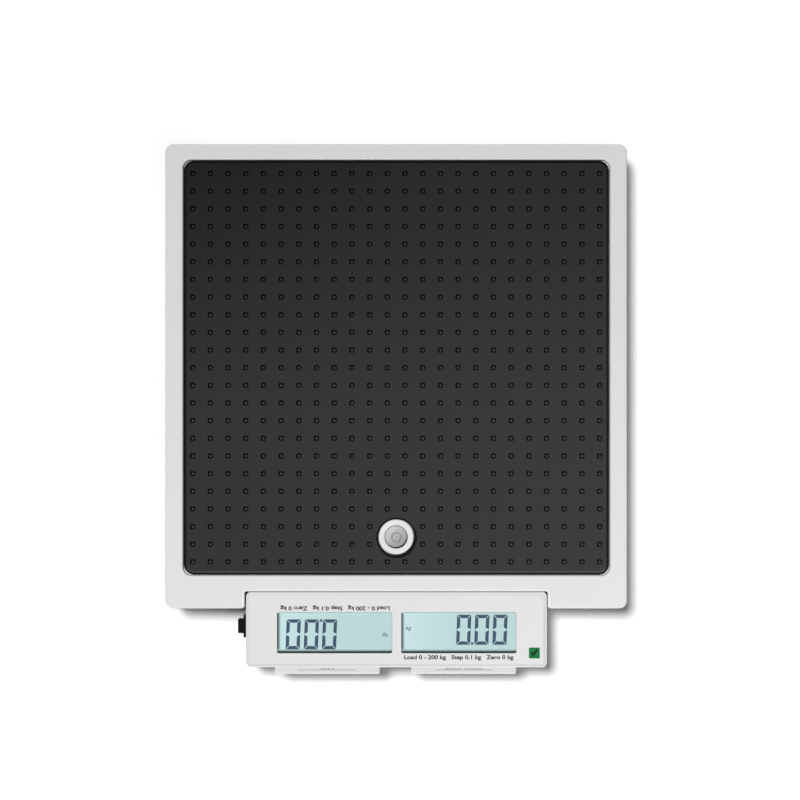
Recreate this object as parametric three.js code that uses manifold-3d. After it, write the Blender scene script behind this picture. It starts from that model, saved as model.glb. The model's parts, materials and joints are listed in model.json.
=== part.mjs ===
// Portable floor scale for animals, with a two-way display console on its front edge.
// Millimetres. X runs left to right, Y from front to back, Z up from the floor.
// The origin is under the middle of the whole object, on the floor.
import * as THREE from "three";
import { mergeVertices } from "three/addons/utils/BufferGeometryUtils.js";
import Module from "manifold-3d";

const wasm = await Module();
wasm.setup();

// ---- Driving dimensions ----
const bodyWidth = 321;
const bodyDepth = 322.9;
const overallHeight = 60;
const bodyCornerRadius = 5.5;
const shellWall = 3;
const shellEdgeBevel = 1.2;
const rimSide = 11.5;
const rimBack = 10.1;
const rimFront = 22.7;
const lipRun = 1.7; // sloped inner edge of the rim, in plan
const lipDrop = 1.4;
const recessDepth = 4;
const panWall = 2.5; // floor of the recess
const recessCornerRadius = 5.5;

const matThickness = 2.6;
const matGap = 1; // black gap all round the mat
const seat = 0.3; // gap between pieces that rest on or face each other

const groundClearance = 13; // floor to the underside of the base tray
const trayWall = 2.5;
const trayHeight = 4.7; // outer edge of the tray
const trayLip = 6.3; // lip of the tray inside the shell
const plateThickness = 3;
const plateMargin = 20;
const plateFrontMargin = 27;

const footInsetSide = 35;
const footInsetBack = 34;
const footInsetFront = 27;
const padRadius = 15;
const padHeight = 5;
const wheelRadius = 17;
const stemRadius = 4;
const hubRadius = 6;
const hubClearance = 0.4;
const padToWheel = 0.5;
const wheelToTray = 0.7;
const footHoleRadius = 11;
const footTravel = 5;
const threadHeld = 5; // stem still in its thread with the foot fully out
const threadClearance = 0.4;

const cellLength = 54;
const cellWidth = 16;
const cellHeight = 12;
const cellOverhang = 9; // load cell beyond the centre of its foot
const hangerLength = 15;
const hangerHeight = 11.2;

const batteryRadius = 7.25;
const batteryLength = 50.5;
const batteryCount = 6;
const bayWall = 1.8;
const contactDepth = 3;
const doorThickness = 2;
const doorTongue = 1.5;
const doorClearance = 0.4;
const bayOffset = 35; // behind the middle of the feet

const screwInsetSide = 8;
const screwInsetFront = 14;
const screwInsetBack = 45;
const screwRadius = 1.6;
const screwHoleRadius = 2;
const screwHeadRadius = 3.4;
const screwHeadHeight = 2.3;
const bossRadius = 4.2;

const boardThickness = 1.6;
const mainBoardWidth = 90;
const mainBoardDepth = 50;
const mainBoardOffset = 38; // in front of the middle of the feet
const connectorHalf = 4;
const connectorHeight = 5;
const cellConnectorOffset = 13;

const consoleWidth = 209;
const consoleDepth = 51.95;
const consoleDrop = 1; // console below the rim
const coverHeight = 20;
const consoleWall = 2.5;
const consoleCornerRadius = 3.2;
const chamferWidth = 2.6; // sloped border of the console's top
const chamferDrop = 1.2;
const notchDepth = 11.8;
const notchGap = 0.35; // behind the console
const notchSideGap = 0.9;
const notchMouthRadius = 2;
const notchCornerRadius = 1.5;
const bracketThickness = 2;
const bracketWidth = 120;

const windowSide = 21.3; // console edges to the windows
const windowBack = 13.95;
const windowFront = 9.5;
const windowBar = 6.4; // bar between the two windows
const windowCornerRadius = 1;
const paneRecess = 1.6;
const paneThickness = 1.5;
const paneMargin = 2;
const lcdThickness = 2.8;
const boardDrop = 4.8; // display board below the displays
const cableFromConsoleBack = 11;

const keySide = 20.5; // console edges to the keys
const keyBar = 22; // between the two keys
const keyDrop = 2.6; // console top to the keys
const keyHeight = 25.4;
const keySlope = 6.2; // height of the sloped top of a key
const keyProud = 5.8;
const keyGap = 0.6;
const keySkin = 2.2;
const keyPinRadius = 1.2;
const keyPinReach = 3.8; // beyond the ends of the key
const keyPivotBack = 4.6; // behind the front of the console
const keyPivotDrop = 4.4; // below the top of the key
const switchDrop = 13; // below the pivot
const switchLength = 4.6;
const ribFromFront = 13.9; // rib that holds the switches
const keySwingDegrees = 4;

const levelFromMatFront = 24.3;
const collarRadius = 13.9;
const housingRadius = 12.25;
const vialRadius = 7.85;
const levelStemRadius = 10.4; // housing below the mat
const levelHoleRadius = 11;

const inletFlangeWidth = 15.9;
const inletBlockWidth = 10.1;
const inletProud = 5.9;
const inletHoleRadius = 2.8;
const inletOffset = 2.5; // behind the middle of the console
const inletDrop = 12.5; // below the top of the console

const stickerSize = 7;
const stickerInsetSide = 4.9;
const stickerInsetFront = 6.1;
const cableRadius = 1.5;
const consoleCableRadius = 2;
const cableHoleRadius = 3.2;

// ---- Places worked out from the sizes ----
const frontOverhang = consoleDepth - notchDepth + notchGap + keyProud;
const back = (bodyDepth + frontOverhang) / 2;
const front = back - bodyDepth;
const notchBack = front + notchDepth;
const notchHalf = consoleWidth / 2 + notchSideGap;
const consoleBack = notchBack - notchGap;
const consoleFront = consoleBack - consoleDepth;

const recessFloor = overallHeight - recessDepth;
const panUnderside = recessFloor - panWall;
const plateTop = panUnderside - seat;
const plateBottom = plateTop - plateThickness;
const trayFloor = groundClearance + trayWall;
const trayEdgeTop = groundClearance + trayHeight;
const shellBottom = trayEdgeTop + seat;
const lipTop = trayEdgeTop + trayLip;

const footX = bodyWidth / 2 - footInsetSide;
const footRows = { front: front + footInsetFront, rear: back - footInsetBack };
const sides = { left: -1, right: 1 };
const footMiddle = (footRows.front + footRows.rear) / 2;
const wheelBottom = padHeight + padToWheel;
const wheelTop = groundClearance - wheelToTray;
const cellTop = plateBottom - hangerHeight;
const cellBottom = cellTop - cellHeight;
const stemTop = cellBottom + threadHeld + footTravel;

const batteryPitch = 2 * batteryRadius + 0.5;
const bayHalfX = (batteryCount * batteryPitch + 1) / 2;
const bayHalfY = batteryLength / 2 + contactDepth;
const doorTravel = 2 * bayHalfY - 1.5;
const bayY = footMiddle + bayOffset;
const batteryZ = trayFloor + seat + batteryRadius;
const bayTop = batteryZ + batteryRadius + 0.5;

const mainBoardY = footMiddle - mainBoardOffset;
const mainBoardZ = lipTop + seat;
const mainBoardTop = mainBoardZ + boardThickness;
const connectorMiddle = mainBoardTop + connectorHeight / 2;

const consoleTop = overallHeight - consoleDrop;
const consoleParting = consoleTop - coverHeight;
const consoleUnderside = trayFloor + seat + bracketThickness + 0.5;
const cableHoleZ = (consoleUnderside + consoleParting) / 2 + 1.3;

const matHalfX = bodyWidth / 2 - rimSide - lipRun - matGap;
const matFront = front + rimFront + lipRun + matGap;
const matBack = back - rimBack - lipRun - matGap;
const levelY = matFront + levelFromMatFront;

const screwX = bodyWidth / 2 - screwInsetSide;
const screwRows = { front: front + screwInsetFront, rear: back - screwInsetBack };
const screwTop = lipTop + 12;

// ---- Shape helpers ----
function solidOf(geometry) {
  const plain = geometry.index ? geometry.toNonIndexed() : geometry.clone();
  plain.deleteAttribute("normal");
  plain.deleteAttribute("uv");
  const merged = mergeVertices(plain, 1e-4);
  const shell = new wasm.Mesh({
    numProp: 3,
    vertProperties: merged.attributes.position.array,
    triVerts: new Uint32Array(merged.index.array),
  });
  return new wasm.Manifold(shell);
}

function geometryOf(solid) {
  const { vertProperties, triVerts } = solid.getMesh();
  const geometry = new THREE.BufferGeometry();
  geometry.setAttribute("position", new THREE.BufferAttribute(vertProperties, 3));
  geometry.setIndex(new THREE.BufferAttribute(triVerts, 1));
  return geometry.toNonIndexed();
}

const join = (first, ...rest) => rest.reduce((whole, piece) => whole.add(piece), first);
const cut = (first, ...rest) => rest.reduce((whole, piece) => whole.subtract(piece), first);

// An outline of right-angled corners, each [x, y, radius], given anticlockwise.
function outlineOf(corners) {
  const shape = new THREE.Shape();
  corners.forEach(([x, y, radius], i) => {
    const corner = new THREE.Vector2(x, y);
    const before = corners[(i + corners.length - 1) % corners.length];
    const after = corners[(i + 1) % corners.length];
    const behind = new THREE.Vector2(before[0] - x, before[1] - y).normalize();
    const ahead = new THREE.Vector2(after[0] - x, after[1] - y).normalize();
    const start = corner.clone().addScaledVector(behind, radius);
    const end = corner.clone().addScaledVector(ahead, radius);
    const centre = start.clone().addScaledVector(ahead, radius);
    if (i === 0) shape.moveTo(start.x, start.y);
    else shape.lineTo(start.x, start.y);
    const from = Math.atan2(start.y - centre.y, start.x - centre.x);
    const to = Math.atan2(end.y - centre.y, end.x - centre.x);
    shape.absarc(centre.x, centre.y, radius, from, to, behind.cross(ahead) > 0);
  });
  shape.closePath();
  return shape;
}

function rectangle(x0, y0, x1, y1, radius) {
  return outlineOf([
    [x0, y0, radius],
    [x1, y0, radius],
    [x1, y1, radius],
    [x0, y1, radius],
  ]);
}

// An outline stood up from z0 to z1, with its top and bottom edges bevelled.
function slab(outline, z0, z1, bevel = 0, bevelSegments = 1) {
  const geometry = new THREE.ExtrudeGeometry(outline, {
    depth: z1 - z0 - 2 * bevel,
    curveSegments: 2,
    bevelEnabled: bevel > 0,
    bevelThickness: bevel,
    bevelSize: bevel,
    bevelOffset: -bevel,
    bevelSegments,
  });
  geometry.translate(0, 0, z0 + bevel);
  return solidOf(geometry);
}

function box(x0, x1, y0, y1, z0, z1) {
  const geometry = new THREE.BoxGeometry(x1 - x0, y1 - y0, z1 - z0);
  geometry.translate((x0 + x1) / 2, (y0 + y1) / 2, (z0 + z1) / 2);
  return solidOf(geometry);
}

// A round bar along "x", "y" or "z", from one coordinate to the other.
function bar(axis, from, to, [x, y, z], radius, faces = 16) {
  const geometry = new THREE.CylinderGeometry(radius, radius, to - from, faces);
  geometry.rotateY(Math.PI / faces);
  if (axis === "x") geometry.rotateZ(-Math.PI / 2);
  if (axis === "z") geometry.rotateX(Math.PI / 2);
  const middle = (from + to) / 2;
  geometry.translate(
    axis === "x" ? middle : x,
    axis === "y" ? middle : y,
    axis === "z" ? middle : z,
  );
  return solidOf(geometry);
}

// A closed profile of [radius, z] pairs turned about a vertical axis.
function turned(profile, x, y, faces = 24) {
  const points = [...profile, profile[0]].map(([r, z]) => new THREE.Vector2(r, z));
  const geometry = new THREE.LatheGeometry(points, faces);
  geometry.rotateX(Math.PI / 2);
  geometry.translate(x, y, 0);
  return solidOf(geometry);
}

function tube(points, radius, steps, faces = 8) {
  const circle = new THREE.Shape();
  circle.absarc(0, 0, radius, 0, 2 * Math.PI);
  const path = new THREE.CatmullRomCurve3(points.map((p) => new THREE.Vector3(...p)));
  const geometry = new THREE.ExtrudeGeometry(circle, {
    steps,
    curveSegments: faces / 2,
    extrudePath: path,
  });
  return solidOf(geometry);
}

// A closed outline of [y, z] pairs, extruded along X.
function profileAlongX(points, x0, x1) {
  const shape = new THREE.Shape(points.map(([y, z]) => new THREE.Vector2(y, z)));
  const geometry = new THREE.ExtrudeGeometry(shape, { depth: x1 - x0, bevelEnabled: false });
  const turn = new THREE.Matrix4().makeBasis(
    new THREE.Vector3(0, 1, 0),
    new THREE.Vector3(0, 0, 1),
    new THREE.Vector3(1, 0, 0),
  );
  geometry.applyMatrix4(turn);
  geometry.translate(x0, 0, 0);
  return solidOf(geometry);
}

// ---- Materials ----
const finish = (color, roughness, metalness = 0) =>
  new THREE.MeshStandardMaterial({ color, roughness, metalness });
const looks = {
  shell: finish(0xdcdad8, 0.55),
  console: finish(0xe4e3e1, 0.5),
  mat: finish(0x37343a, 0.85),
  tray: finish(0x4a4a4c, 0.7),
  rubber: finish(0x1c1c1e, 0.9),
  plastic: finish(0x151515, 0.5),
  steel: finish(0xb4b6b8, 0.4, 1),
  aluminium: finish(0xc4c8cc, 0.35, 1),
  board: finish(0x1f6b3a, 0.5),
  lcd: finish(0xc4dede, 0.3),
  clear: finish(0xe8f0f0, 0.05),
  white: finish(0xf4f4f2, 0.35),
  fluid: finish(0xc8d4c0, 0.1),
  battery: finish(0x3b4a66, 0.35, 0.4),
  cable: finish(0x7a7c80, 0.6),
  sticker: finish(0x2f9a3c, 0.6),
  label: finish(0xd8d8d6, 0.5),
};

const scale = new THREE.Group();
function add(name, solid, look) {
  const mesh = new THREE.Mesh(geometryOf(solid), looks[look]);
  mesh.name = name;
  scale.add(mesh);
}

// ---- Platform body ----
// The body's outline, moved in by a margin, with the notch that takes the console.
function bodyOutline(margin) {
  const x = bodyWidth / 2 - margin;
  const notchX = notchHalf + margin;
  const outer = Math.max(bodyCornerRadius - margin, 0.8);
  const mouth = Math.max(notchMouthRadius - margin, 0.5);
  const inner = notchCornerRadius + margin;
  return outlineOf([
    [-x, front + margin, outer],
    [-notchX, front + margin, mouth],
    [-notchX, notchBack + margin, inner],
    [notchX, notchBack + margin, inner],
    [notchX, front + margin, mouth],
    [x, front + margin, outer],
    [x, back - margin, outer],
    [-x, back - margin, outer],
  ]);
}

// The recess that the mat lies in, moved out by a margin.
function recessOutline(margin) {
  return rectangle(
    -matHalfX - matGap - margin,
    matFront - matGap - margin,
    matHalfX + matGap + margin,
    matBack + matGap + margin,
    recessCornerRadius + margin,
  );
}

function eachScrew(make) {
  for (const [row, y] of Object.entries(screwRows))
    for (const [side, sign] of Object.entries(sides)) make(`${row}_${side}`, sign * screwX, y);
}

function eachFoot(make) {
  for (const [row, y] of Object.entries(footRows))
    for (const [side, sign] of Object.entries(sides)) make(`${row}_${side}`, sign, y);
}

function topShell() {
  const outer = slab(bodyOutline(0), groundClearance, overallHeight, shellEdgeBevel, 2);
  const below = box(-bodyWidth, bodyWidth, -bodyDepth, bodyDepth, 0, shellBottom);
  const hollow = slab(bodyOutline(shellWall), 0, overallHeight - shellWall);
  const pan = slab(recessOutline(shellWall), panUnderside, overallHeight);
  const lip = new THREE.ExtrudeGeometry(recessOutline(0), {
    depth: lipDrop,
    curveSegments: 2,
    bevelThickness: lipDrop,
    bevelSize: lipRun,
    bevelSegments: 1,
  });
  lip.translate(0, 0, overallHeight);
  let shell = cut(outer, below, cut(hollow, pan));
  shell = cut(shell, slab(recessOutline(0), recessFloor, overallHeight + 1), solidOf(lip));
  const inside = slab(bodyOutline(shellWall - 0.5), 0, overallHeight - shellWall / 2);
  eachScrew((name, x, y) => {
    const boss = bar("z", lipTop + seat, overallHeight - shellWall, [x, y, 0], bossRadius, 10);
    shell = join(shell, boss.intersect(inside));
    shell = cut(shell, bar("z", 0, screwTop + 5, [x, y, 0], screwHoleRadius, 8));
  });
  shell = cut(shell, bar("z", panUnderside - 1, overallHeight, [0, levelY, 0], levelHoleRadius, 24));
  return cut(shell, bar("y", front, matFront, [0, 0, cableHoleZ], cableHoleRadius, 8));
}

function platformMat() {
  const outline = rectangle(-matHalfX, matFront, matHalfX, matBack, recessCornerRadius);
  const top = recessFloor + matThickness;
  const mat = slab(outline, recessFloor + 0.1, top, 0.5);
  return cut(mat, bar("z", recessFloor - 1, top + 1, [0, levelY, 0], collarRadius + seat, 28));
}

function loadPlate() {
  const half = bodyWidth / 2 - plateMargin;
  const outline = rectangle(-half, front + plateFrontMargin, half, back - plateMargin, 6);
  const plate = slab(outline, plateBottom, plateTop);
  const holeRadius = levelHoleRadius + 1.5;
  return cut(plate, bar("z", plateBottom - 1, plateTop + 1, [0, levelY, 0], holeRadius, 24));
}

// ---- Base tray, battery bay and door ----
const doorHalfX = bayHalfX + bayWall + 1.5;
const doorHalfY = bayHalfY + bayWall + 1.5;
const doorZ = groundClearance + 0.2;

function baseTray() {
  const floorSlab = slab(bodyOutline(0.5), groundClearance, groundClearance + 20, 1.2);
  const aboveEdge = box(-bodyWidth, bodyWidth, -bodyDepth, bodyDepth, trayEdgeTop, overallHeight);
  const lipMargin = shellWall + seat;
  const lip = slab(bodyOutline(lipMargin), groundClearance + 1, lipTop);
  const hollow = slab(bodyOutline(lipMargin + 2), trayFloor, lipTop + 5);
  let tray = cut(join(cut(floorSlab, aboveEdge), lip), hollow);

  const bayX = bayHalfX + bayWall;
  const bayY0 = bayY - bayHalfY - bayWall;
  const bayY1 = bayY + bayHalfY + bayWall;
  const trackX = doorHalfX + doorTongue + 2.5;
  const trackY0 = bayY - doorHalfY - 2.5;
  const trackY1 = bayY + doorHalfY + doorTravel + 2.5;
  const bay = box(-bayX, bayX, bayY0, bayY1, groundClearance + 1, bayTop + bayWall);
  const track = box(-trackX, trackX, trackY0, trackY1, groundClearance + 0.5, trayFloor + 2);
  const slot = box(
    -doorHalfX - doorClearance,
    doorHalfX + doorClearance,
    bayY - doorHalfY - doorClearance,
    bayY + doorHalfY + doorTravel + doorClearance,
    groundClearance - 1,
    doorZ + doorThickness + 0.3,
  );
  const groove = box(
    -doorHalfX - doorTongue - doorClearance,
    doorHalfX + doorTongue + doorClearance,
    bayY - doorHalfY - doorClearance,
    bayY + doorHalfY + doorTravel + doorClearance,
    groundClearance + 0.5,
    doorZ + doorThickness + 0.3,
  );
  const cells = box(
    -bayHalfX,
    bayHalfX,
    bayY - bayHalfY,
    bayY + bayHalfY,
    groundClearance - 1,
    bayTop,
  );
  tray = cut(join(tray, bay, track), slot, groove, cells);

  for (const sx of [-1, 1])
    for (const sy of [-1, 1]) {
      const x = sx * (mainBoardWidth / 2 - 6);
      const y = mainBoardY + sy * (mainBoardDepth / 2 - 6);
      tray = join(tray, bar("z", groundClearance + 1, lipTop, [x, y, 0], 3, 8));
    }
  eachScrew((name, x, y) => {
    tray = join(tray, bar("z", groundClearance + 1, lipTop, [x, y, 0], bossRadius, 10));
    tray = cut(tray, bar("z", 0, groundClearance + 3, [x, y, 0], screwHeadRadius + 0.5, 12));
    tray = cut(tray, bar("z", 0, lipTop + 1, [x, y, 0], screwHoleRadius, 8));
  });
  eachFoot((name, sign, y) => {
    tray = cut(tray, bar("z", 0, lipTop, [sign * footX, y, 0], footHoleRadius, 16));
  });
  const half = bracketWidth / 2 + seat;
  return cut(
    tray,
    box(-half, half, front - 5, notchBack + 8, trayFloor, shellBottom + 0.3),
    bar("y", front, matFront, [0, 0, cableHoleZ], cableHoleRadius, 8),
  );
}

function batteryDoor() {
  const top = doorZ + doorThickness;
  const outline = rectangle(-doorHalfX, bayY - doorHalfY, doorHalfX, bayY + doorHalfY, 0.4);
  let door = slab(outline, doorZ, top);
  const tongueX = doorHalfX + doorTongue;
  door = join(
    door,
    box(-tongueX, tongueX, bayY - doorHalfY + 1, bayY + doorHalfY - 1, doorZ + 0.8, top),
  );
  for (const step of [0, 1, 2, 3]) {
    const y = bayY + doorHalfY - 8 - step * 3;
    door = cut(door, box(-12, 12, y - 0.7, y + 0.7, doorZ - 1, doorZ + 0.8));
  }
  return door;
}

// A cell standing along Y; sign gives the end that its raised terminal points to.
function battery(x, sign) {
  const nub = 1.2;
  const shortEnd = batteryLength / 2 - nub;
  const can = bar("y", -batteryLength / 2, shortEnd, [0, 0, 0], batteryRadius, 16);
  const terminal = bar("y", shortEnd - 1, batteryLength / 2, [0, 0, 0], 2.7, 8);
  const cell = sign > 0 ? join(can, terminal) : join(can, terminal).rotate([0, 0, 180]);
  return cell.translate([x, bayY, batteryZ]);
}

// A contact strip at one end of the bay, with a pad for each cell.
function contacts(sign) {
  const near = bayHalfY - 0.3;
  const far = bayHalfY - 0.8;
  const half = bayHalfX - 0.5;
  const y = (value) => bayY + sign * value;
  const span = (a, b) => [Math.min(y(a), y(b)), Math.max(y(a), y(b))];
  const [y0, y1] = span(far, near);
  let strip = box(-half, half, y0, y1, batteryZ - 5, batteryZ + 5);
  for (let i = 0; i < batteryCount; i += 1) {
    const x = (i - (batteryCount - 1) / 2) * batteryPitch;
    const [p0, p1] = span(batteryLength / 2 + 0.3, near);
    strip = join(strip, bar("y", p0, p1, [x, 0, batteryZ], 2.4, 8));
  }
  return strip;
}

// ---- Feet and load cells ----
function footPad(x, y) {
  return turned(
    [
      [0, 0],
      [padRadius - 1, 0],
      [padRadius, 1],
      [padRadius - 1.5, padHeight],
      [hubRadius + hubClearance, padHeight],
      [hubRadius + hubClearance, 2],
      [0, 2],
    ],
    x,
    y,
    20,
  );
}

// A thumbwheel with a hub that swivels in the pad and a stem that screws into the load cell.
function footScrew(x, y) {
  const lobes = 16;
  const grip = new THREE.Shape();
  for (let i = 0; i < lobes * 2; i += 1) {
    const angle = (i * Math.PI) / lobes;
    const radius = i % 2 ? wheelRadius : wheelRadius - 0.8;
    const place = [radius * Math.cos(angle), radius * Math.sin(angle)];
    if (i === 0) grip.moveTo(...place);
    else grip.lineTo(...place);
  }
  grip.closePath();
  const wheel = slab(grip, wheelBottom, wheelTop);
  const hub = bar("z", 2.4, wheelBottom + 1, [0, 0, 0], hubRadius, 16);
  const collarTop = (wheelTop + cellBottom) / 2 - 1.35;
  const collar = bar("z", wheelTop - 1, collarTop, [0, 0, 0], hubRadius + 0.5, 12);
  const stem = turned(
    [
      [0, wheelTop - 1],
      [stemRadius, wheelTop - 1],
      [stemRadius, stemTop - 0.8],
      [stemRadius - 0.8, stemTop],
      [0, stemTop],
    ],
    0,
    0,
    12,
  );
  return join(wheel, hub, collar, stem).translate([x, y, 0]);
}

function loadCell(sign, y) {
  const outboard = footX + cellOverhang;
  const inboard = outboard - cellLength;
  const x0 = Math.min(sign * outboard, sign * inboard);
  let cell = box(x0, x0 + cellLength, y - cellWidth / 2, y + cellWidth / 2, cellBottom, cellTop);
  const holeRadius = stemRadius + threadClearance;
  cell = cut(cell, bar("z", 0, cellTop + 1, [sign * footX, y, 0], holeRadius, 16));
  const middle = sign * (footX - 19);
  const z = (cellBottom + cellTop) / 2;
  for (const dx of [-4, 4])
    cell = cut(cell, bar("y", y - cellWidth, y + cellWidth, [middle + dx, 0, z], 4.2, 10));
  return cell;
}

// The steel hanger that bolts the inboard end of a load cell under the load plate.
function cellHanger(sign, y) {
  const inboard = footX + cellOverhang - cellLength;
  const x0 = Math.min(sign * inboard, sign * (inboard + hangerLength));
  const top = plateBottom - seat;
  const half = cellWidth / 2;
  const block = box(x0, x0 + hangerLength, y - half, y + half, cellTop + seat, top);
  const flange = box(x0 - 4, x0 + hangerLength + 4, y - half - 4, y + half + 4, top - 2.5, top);
  return join(block, flange);
}

// ---- Boards and cables ----
function mainBoard() {
  const x = mainBoardWidth / 2;
  const y0 = mainBoardY - mainBoardDepth / 2;
  const y1 = mainBoardY + mainBoardDepth / 2;
  const top = mainBoardTop - 0.1;
  const half = connectorHalf;
  const tall = mainBoardTop + connectorHeight;
  let board = box(-x, x, y0, y1, mainBoardZ, mainBoardTop);
  for (const side of [-1, 1])
    for (const row of [-1, 1]) {
      const cx = side * x;
      const cy = mainBoardY + row * cellConnectorOffset;
      board = join(board, box(cx - half, cx + half, cy - half, cy + half, top, tall));
    }
  board = join(board, box(-5, 5, y0 - half, y0 + half, top, tall));
  board = join(board, box(-20, -6, mainBoardY - 4, mainBoardY + 10, top, mainBoardTop + 1.8));
  return join(board, box(8, 18, mainBoardY + 2, mainBoardY + 8, top, mainBoardTop + 1.6));
}

function cellCable(sign, y) {
  const low = trayFloor + cableRadius + 2;
  const z = (cellBottom + cellTop) / 2;
  const from = footX + cellOverhang - cellLength - seat;
  const row = Math.sign(y - footMiddle);
  const to = mainBoardWidth / 2 + connectorHalf + seat;
  const run = Math.max(bayHalfX + bayWall + doorTongue + 12, to + 8);
  const points = [
    [from, y, z],
    [from - 3, y, z],
    [(from + run) / 2, y - row * 11, (z + low) / 2],
    [run, y - row * 26, low],
    [run, (y + mainBoardY) / 2, low],
    [run, mainBoardY + row * 26, low + 1],
    [to + 4, mainBoardY + row * cellConnectorOffset, connectorMiddle],
    [to, mainBoardY + row * cellConnectorOffset, connectorMiddle],
  ];
  return tube(points.map(([px, py, pz]) => [sign * px, py, pz]), cableRadius, 18);
}

function consoleCable() {
  const end = mainBoardY - mainBoardDepth / 2 - connectorHalf - seat;
  const points = [
    [0, consoleBack - cableFromConsoleBack, displayBoardZ - connectorHalf - seat],
    [0, consoleBack - cableFromConsoleBack, (displayBoardZ + cableHoleZ) / 2],
    [0, consoleBack - 8.5, cableHoleZ + 2.2],
    [0, consoleBack - 4, cableHoleZ],
    [0, notchBack + 4, cableHoleZ],
    [0, (notchBack + end) / 2, mainBoardZ],
    [0, end - 4, connectorMiddle],
    [0, end, connectorMiddle],
  ];
  return tube(points, consoleCableRadius, 18);
}

// ---- Spirit level ----
const levelRim = overallHeight - 0.5;
const levelDish = 0.9; // housing rim down to its edge round the vial
const vialTop = overallHeight - 0.3;
const vialSeat = overallHeight - 10;
const vialWall = 1;

function levelCollar() {
  const z = recessFloor + 0.1;
  const top = recessFloor + matThickness + 0.1;
  return turned(
    [
      [housingRadius + seat, z],
      [collarRadius, z],
      [collarRadius, top - 0.4],
      [collarRadius - 0.4, top],
      [housingRadius + seat, top],
    ],
    0,
    levelY,
    28,
  );
}

function levelHousing() {
  const bore = vialRadius + 0.2;
  return turned(
    [
      [0, vialSeat - 3],
      [levelStemRadius, vialSeat - 3],
      [levelStemRadius, recessFloor + 0.2],
      [housingRadius, recessFloor + 0.2],
      [housingRadius, levelRim - 1.4],
      [housingRadius - 0.5, levelRim - 0.4],
      [housingRadius - 1.5, levelRim],
      [bore + 0.5, levelRim - levelDish],
      [bore, levelRim - levelDish - 0.2],
      [bore, vialSeat],
      [0, vialSeat],
    ],
    0,
    levelY,
    28,
  );
}

function levelVial() {
  return turned(
    [
      [vialRadius - vialWall, vialSeat + 0.2],
      [vialRadius, vialSeat + 0.2],
      [vialRadius, vialTop - 1.1],
      [vialRadius - 0.6, vialTop - 0.5],
      [0, vialTop],
      [0, vialTop - 1.8],
      [vialRadius - vialWall, vialTop - 2.4],
    ],
    0,
    levelY,
    24,
  );
}

function levelFluid() {
  const radius = vialRadius - vialWall - 0.15;
  const top = vialTop - 2.4 - 0.15;
  return bar("z", vialSeat + 0.2, top, [0, levelY, 0], radius, 24);
}

// ---- Console ----
const windowWidth = (consoleWidth - windowBar) / 2 - windowSide;
const windowX = (windowWidth + windowBar) / 2;
const windowY1 = consoleBack - windowBack;
const windowY0 = consoleFront + windowFront;
const paneTop = consoleTop - paneRecess - seat;
const lcdTop = paneTop - paneThickness - 0.4;
const displayBoardZ = lcdTop - lcdThickness - boardDrop - boardThickness;
const keyWidth = (consoleWidth - keyBar) / 2 - keySide;
const keyX = (keyWidth + keyBar) / 2;
const keyTop = consoleTop - keyDrop;
const keyBottom = keyTop - keyHeight;
const keyPivotY = consoleFront + keyPivotBack;
const keyPivotZ = keyTop - keyPivotDrop;
const switchZ = keyPivotZ - switchDrop;
const switchTravel = switchDrop * Math.tan((keySwingDegrees * Math.PI) / 180);
const ribFront = consoleFront + ribFromFront;
const switchFront = ribFront - switchLength;
const inletY = (consoleFront + consoleBack) / 2 + inletOffset;
const inletZ = consoleTop - inletDrop;

function consoleOutline(margin) {
  return rectangle(
    -consoleWidth / 2 + margin,
    consoleFront + margin,
    consoleWidth / 2 - margin,
    consoleBack - margin,
    Math.max(consoleCornerRadius - margin, 0.5),
  );
}

function windowOutline(sign, margin) {
  const x = sign * windowX;
  const half = windowWidth / 2 + margin;
  const radius = windowCornerRadius + margin;
  return rectangle(x - half, windowY0 - margin, x + half, windowY1 + margin, radius);
}

function keyOpening(sign) {
  const half = keyWidth / 2 + keyGap;
  const x = sign * keyX;
  return box(
    x - half,
    x + half,
    consoleFront - 1,
    consoleFront + consoleWall + 0.2,
    keyBottom - keyGap,
    keyTop + keyGap,
  );
}

function inletOpening() {
  const half = inletBlockWidth / 2 + 0.4;
  const x = -consoleWidth / 2;
  return box(x - 1, x + consoleWall + 1, inletY - half, inletY + half, inletZ - 5, inletZ + 5);
}

function consoleCover() {
  const chamfered = new THREE.ExtrudeGeometry(consoleOutline(0), {
    depth: coverHeight,
    curveSegments: 2,
    bevelThickness: chamferDrop,
    bevelSize: chamferWidth,
    bevelOffset: -chamferWidth,
    bevelSegments: 1,
  });
  chamfered.translate(0, 0, consoleTop - chamferDrop - coverHeight);
  const outer = solidOf(chamfered);
  const below = box(-consoleWidth, consoleWidth, -bodyDepth, bodyDepth, 0, consoleParting);
  const hollow = slab(consoleOutline(consoleWall), 0, consoleTop - consoleWall);
  let cover = cut(outer, below, hollow);
  for (const sign of [-1, 1]) {
    cover = cut(cover, slab(windowOutline(sign, 0), consoleTop - 5, consoleTop + 1));
    cover = cut(cover, slab(windowOutline(sign, paneMargin + seat), 0, consoleTop - paneRecess));
    cover = cut(cover, keyOpening(sign));
    for (const end of [-1, 1]) {
      const near = keyWidth / 2 + 0.5;
      const x = sign * keyX + end * (near + 1.5);
      const lug = box(
        x - 1.5,
        x + 1.5,
        consoleFront + consoleWall - 0.5,
        keyPivotY + 2.3,
        keyPivotZ - 2.5,
        consoleTop - consoleWall + 0.5,
      );
      const bore = bar("x", x - 3, x + 3, [0, keyPivotY, keyPivotZ], keyPinRadius + 0.3, 16);
      cover = join(cover, lug);
      cover = cut(cover, bore);
    }
  }
  return cut(cover, inletOpening());
}

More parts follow.
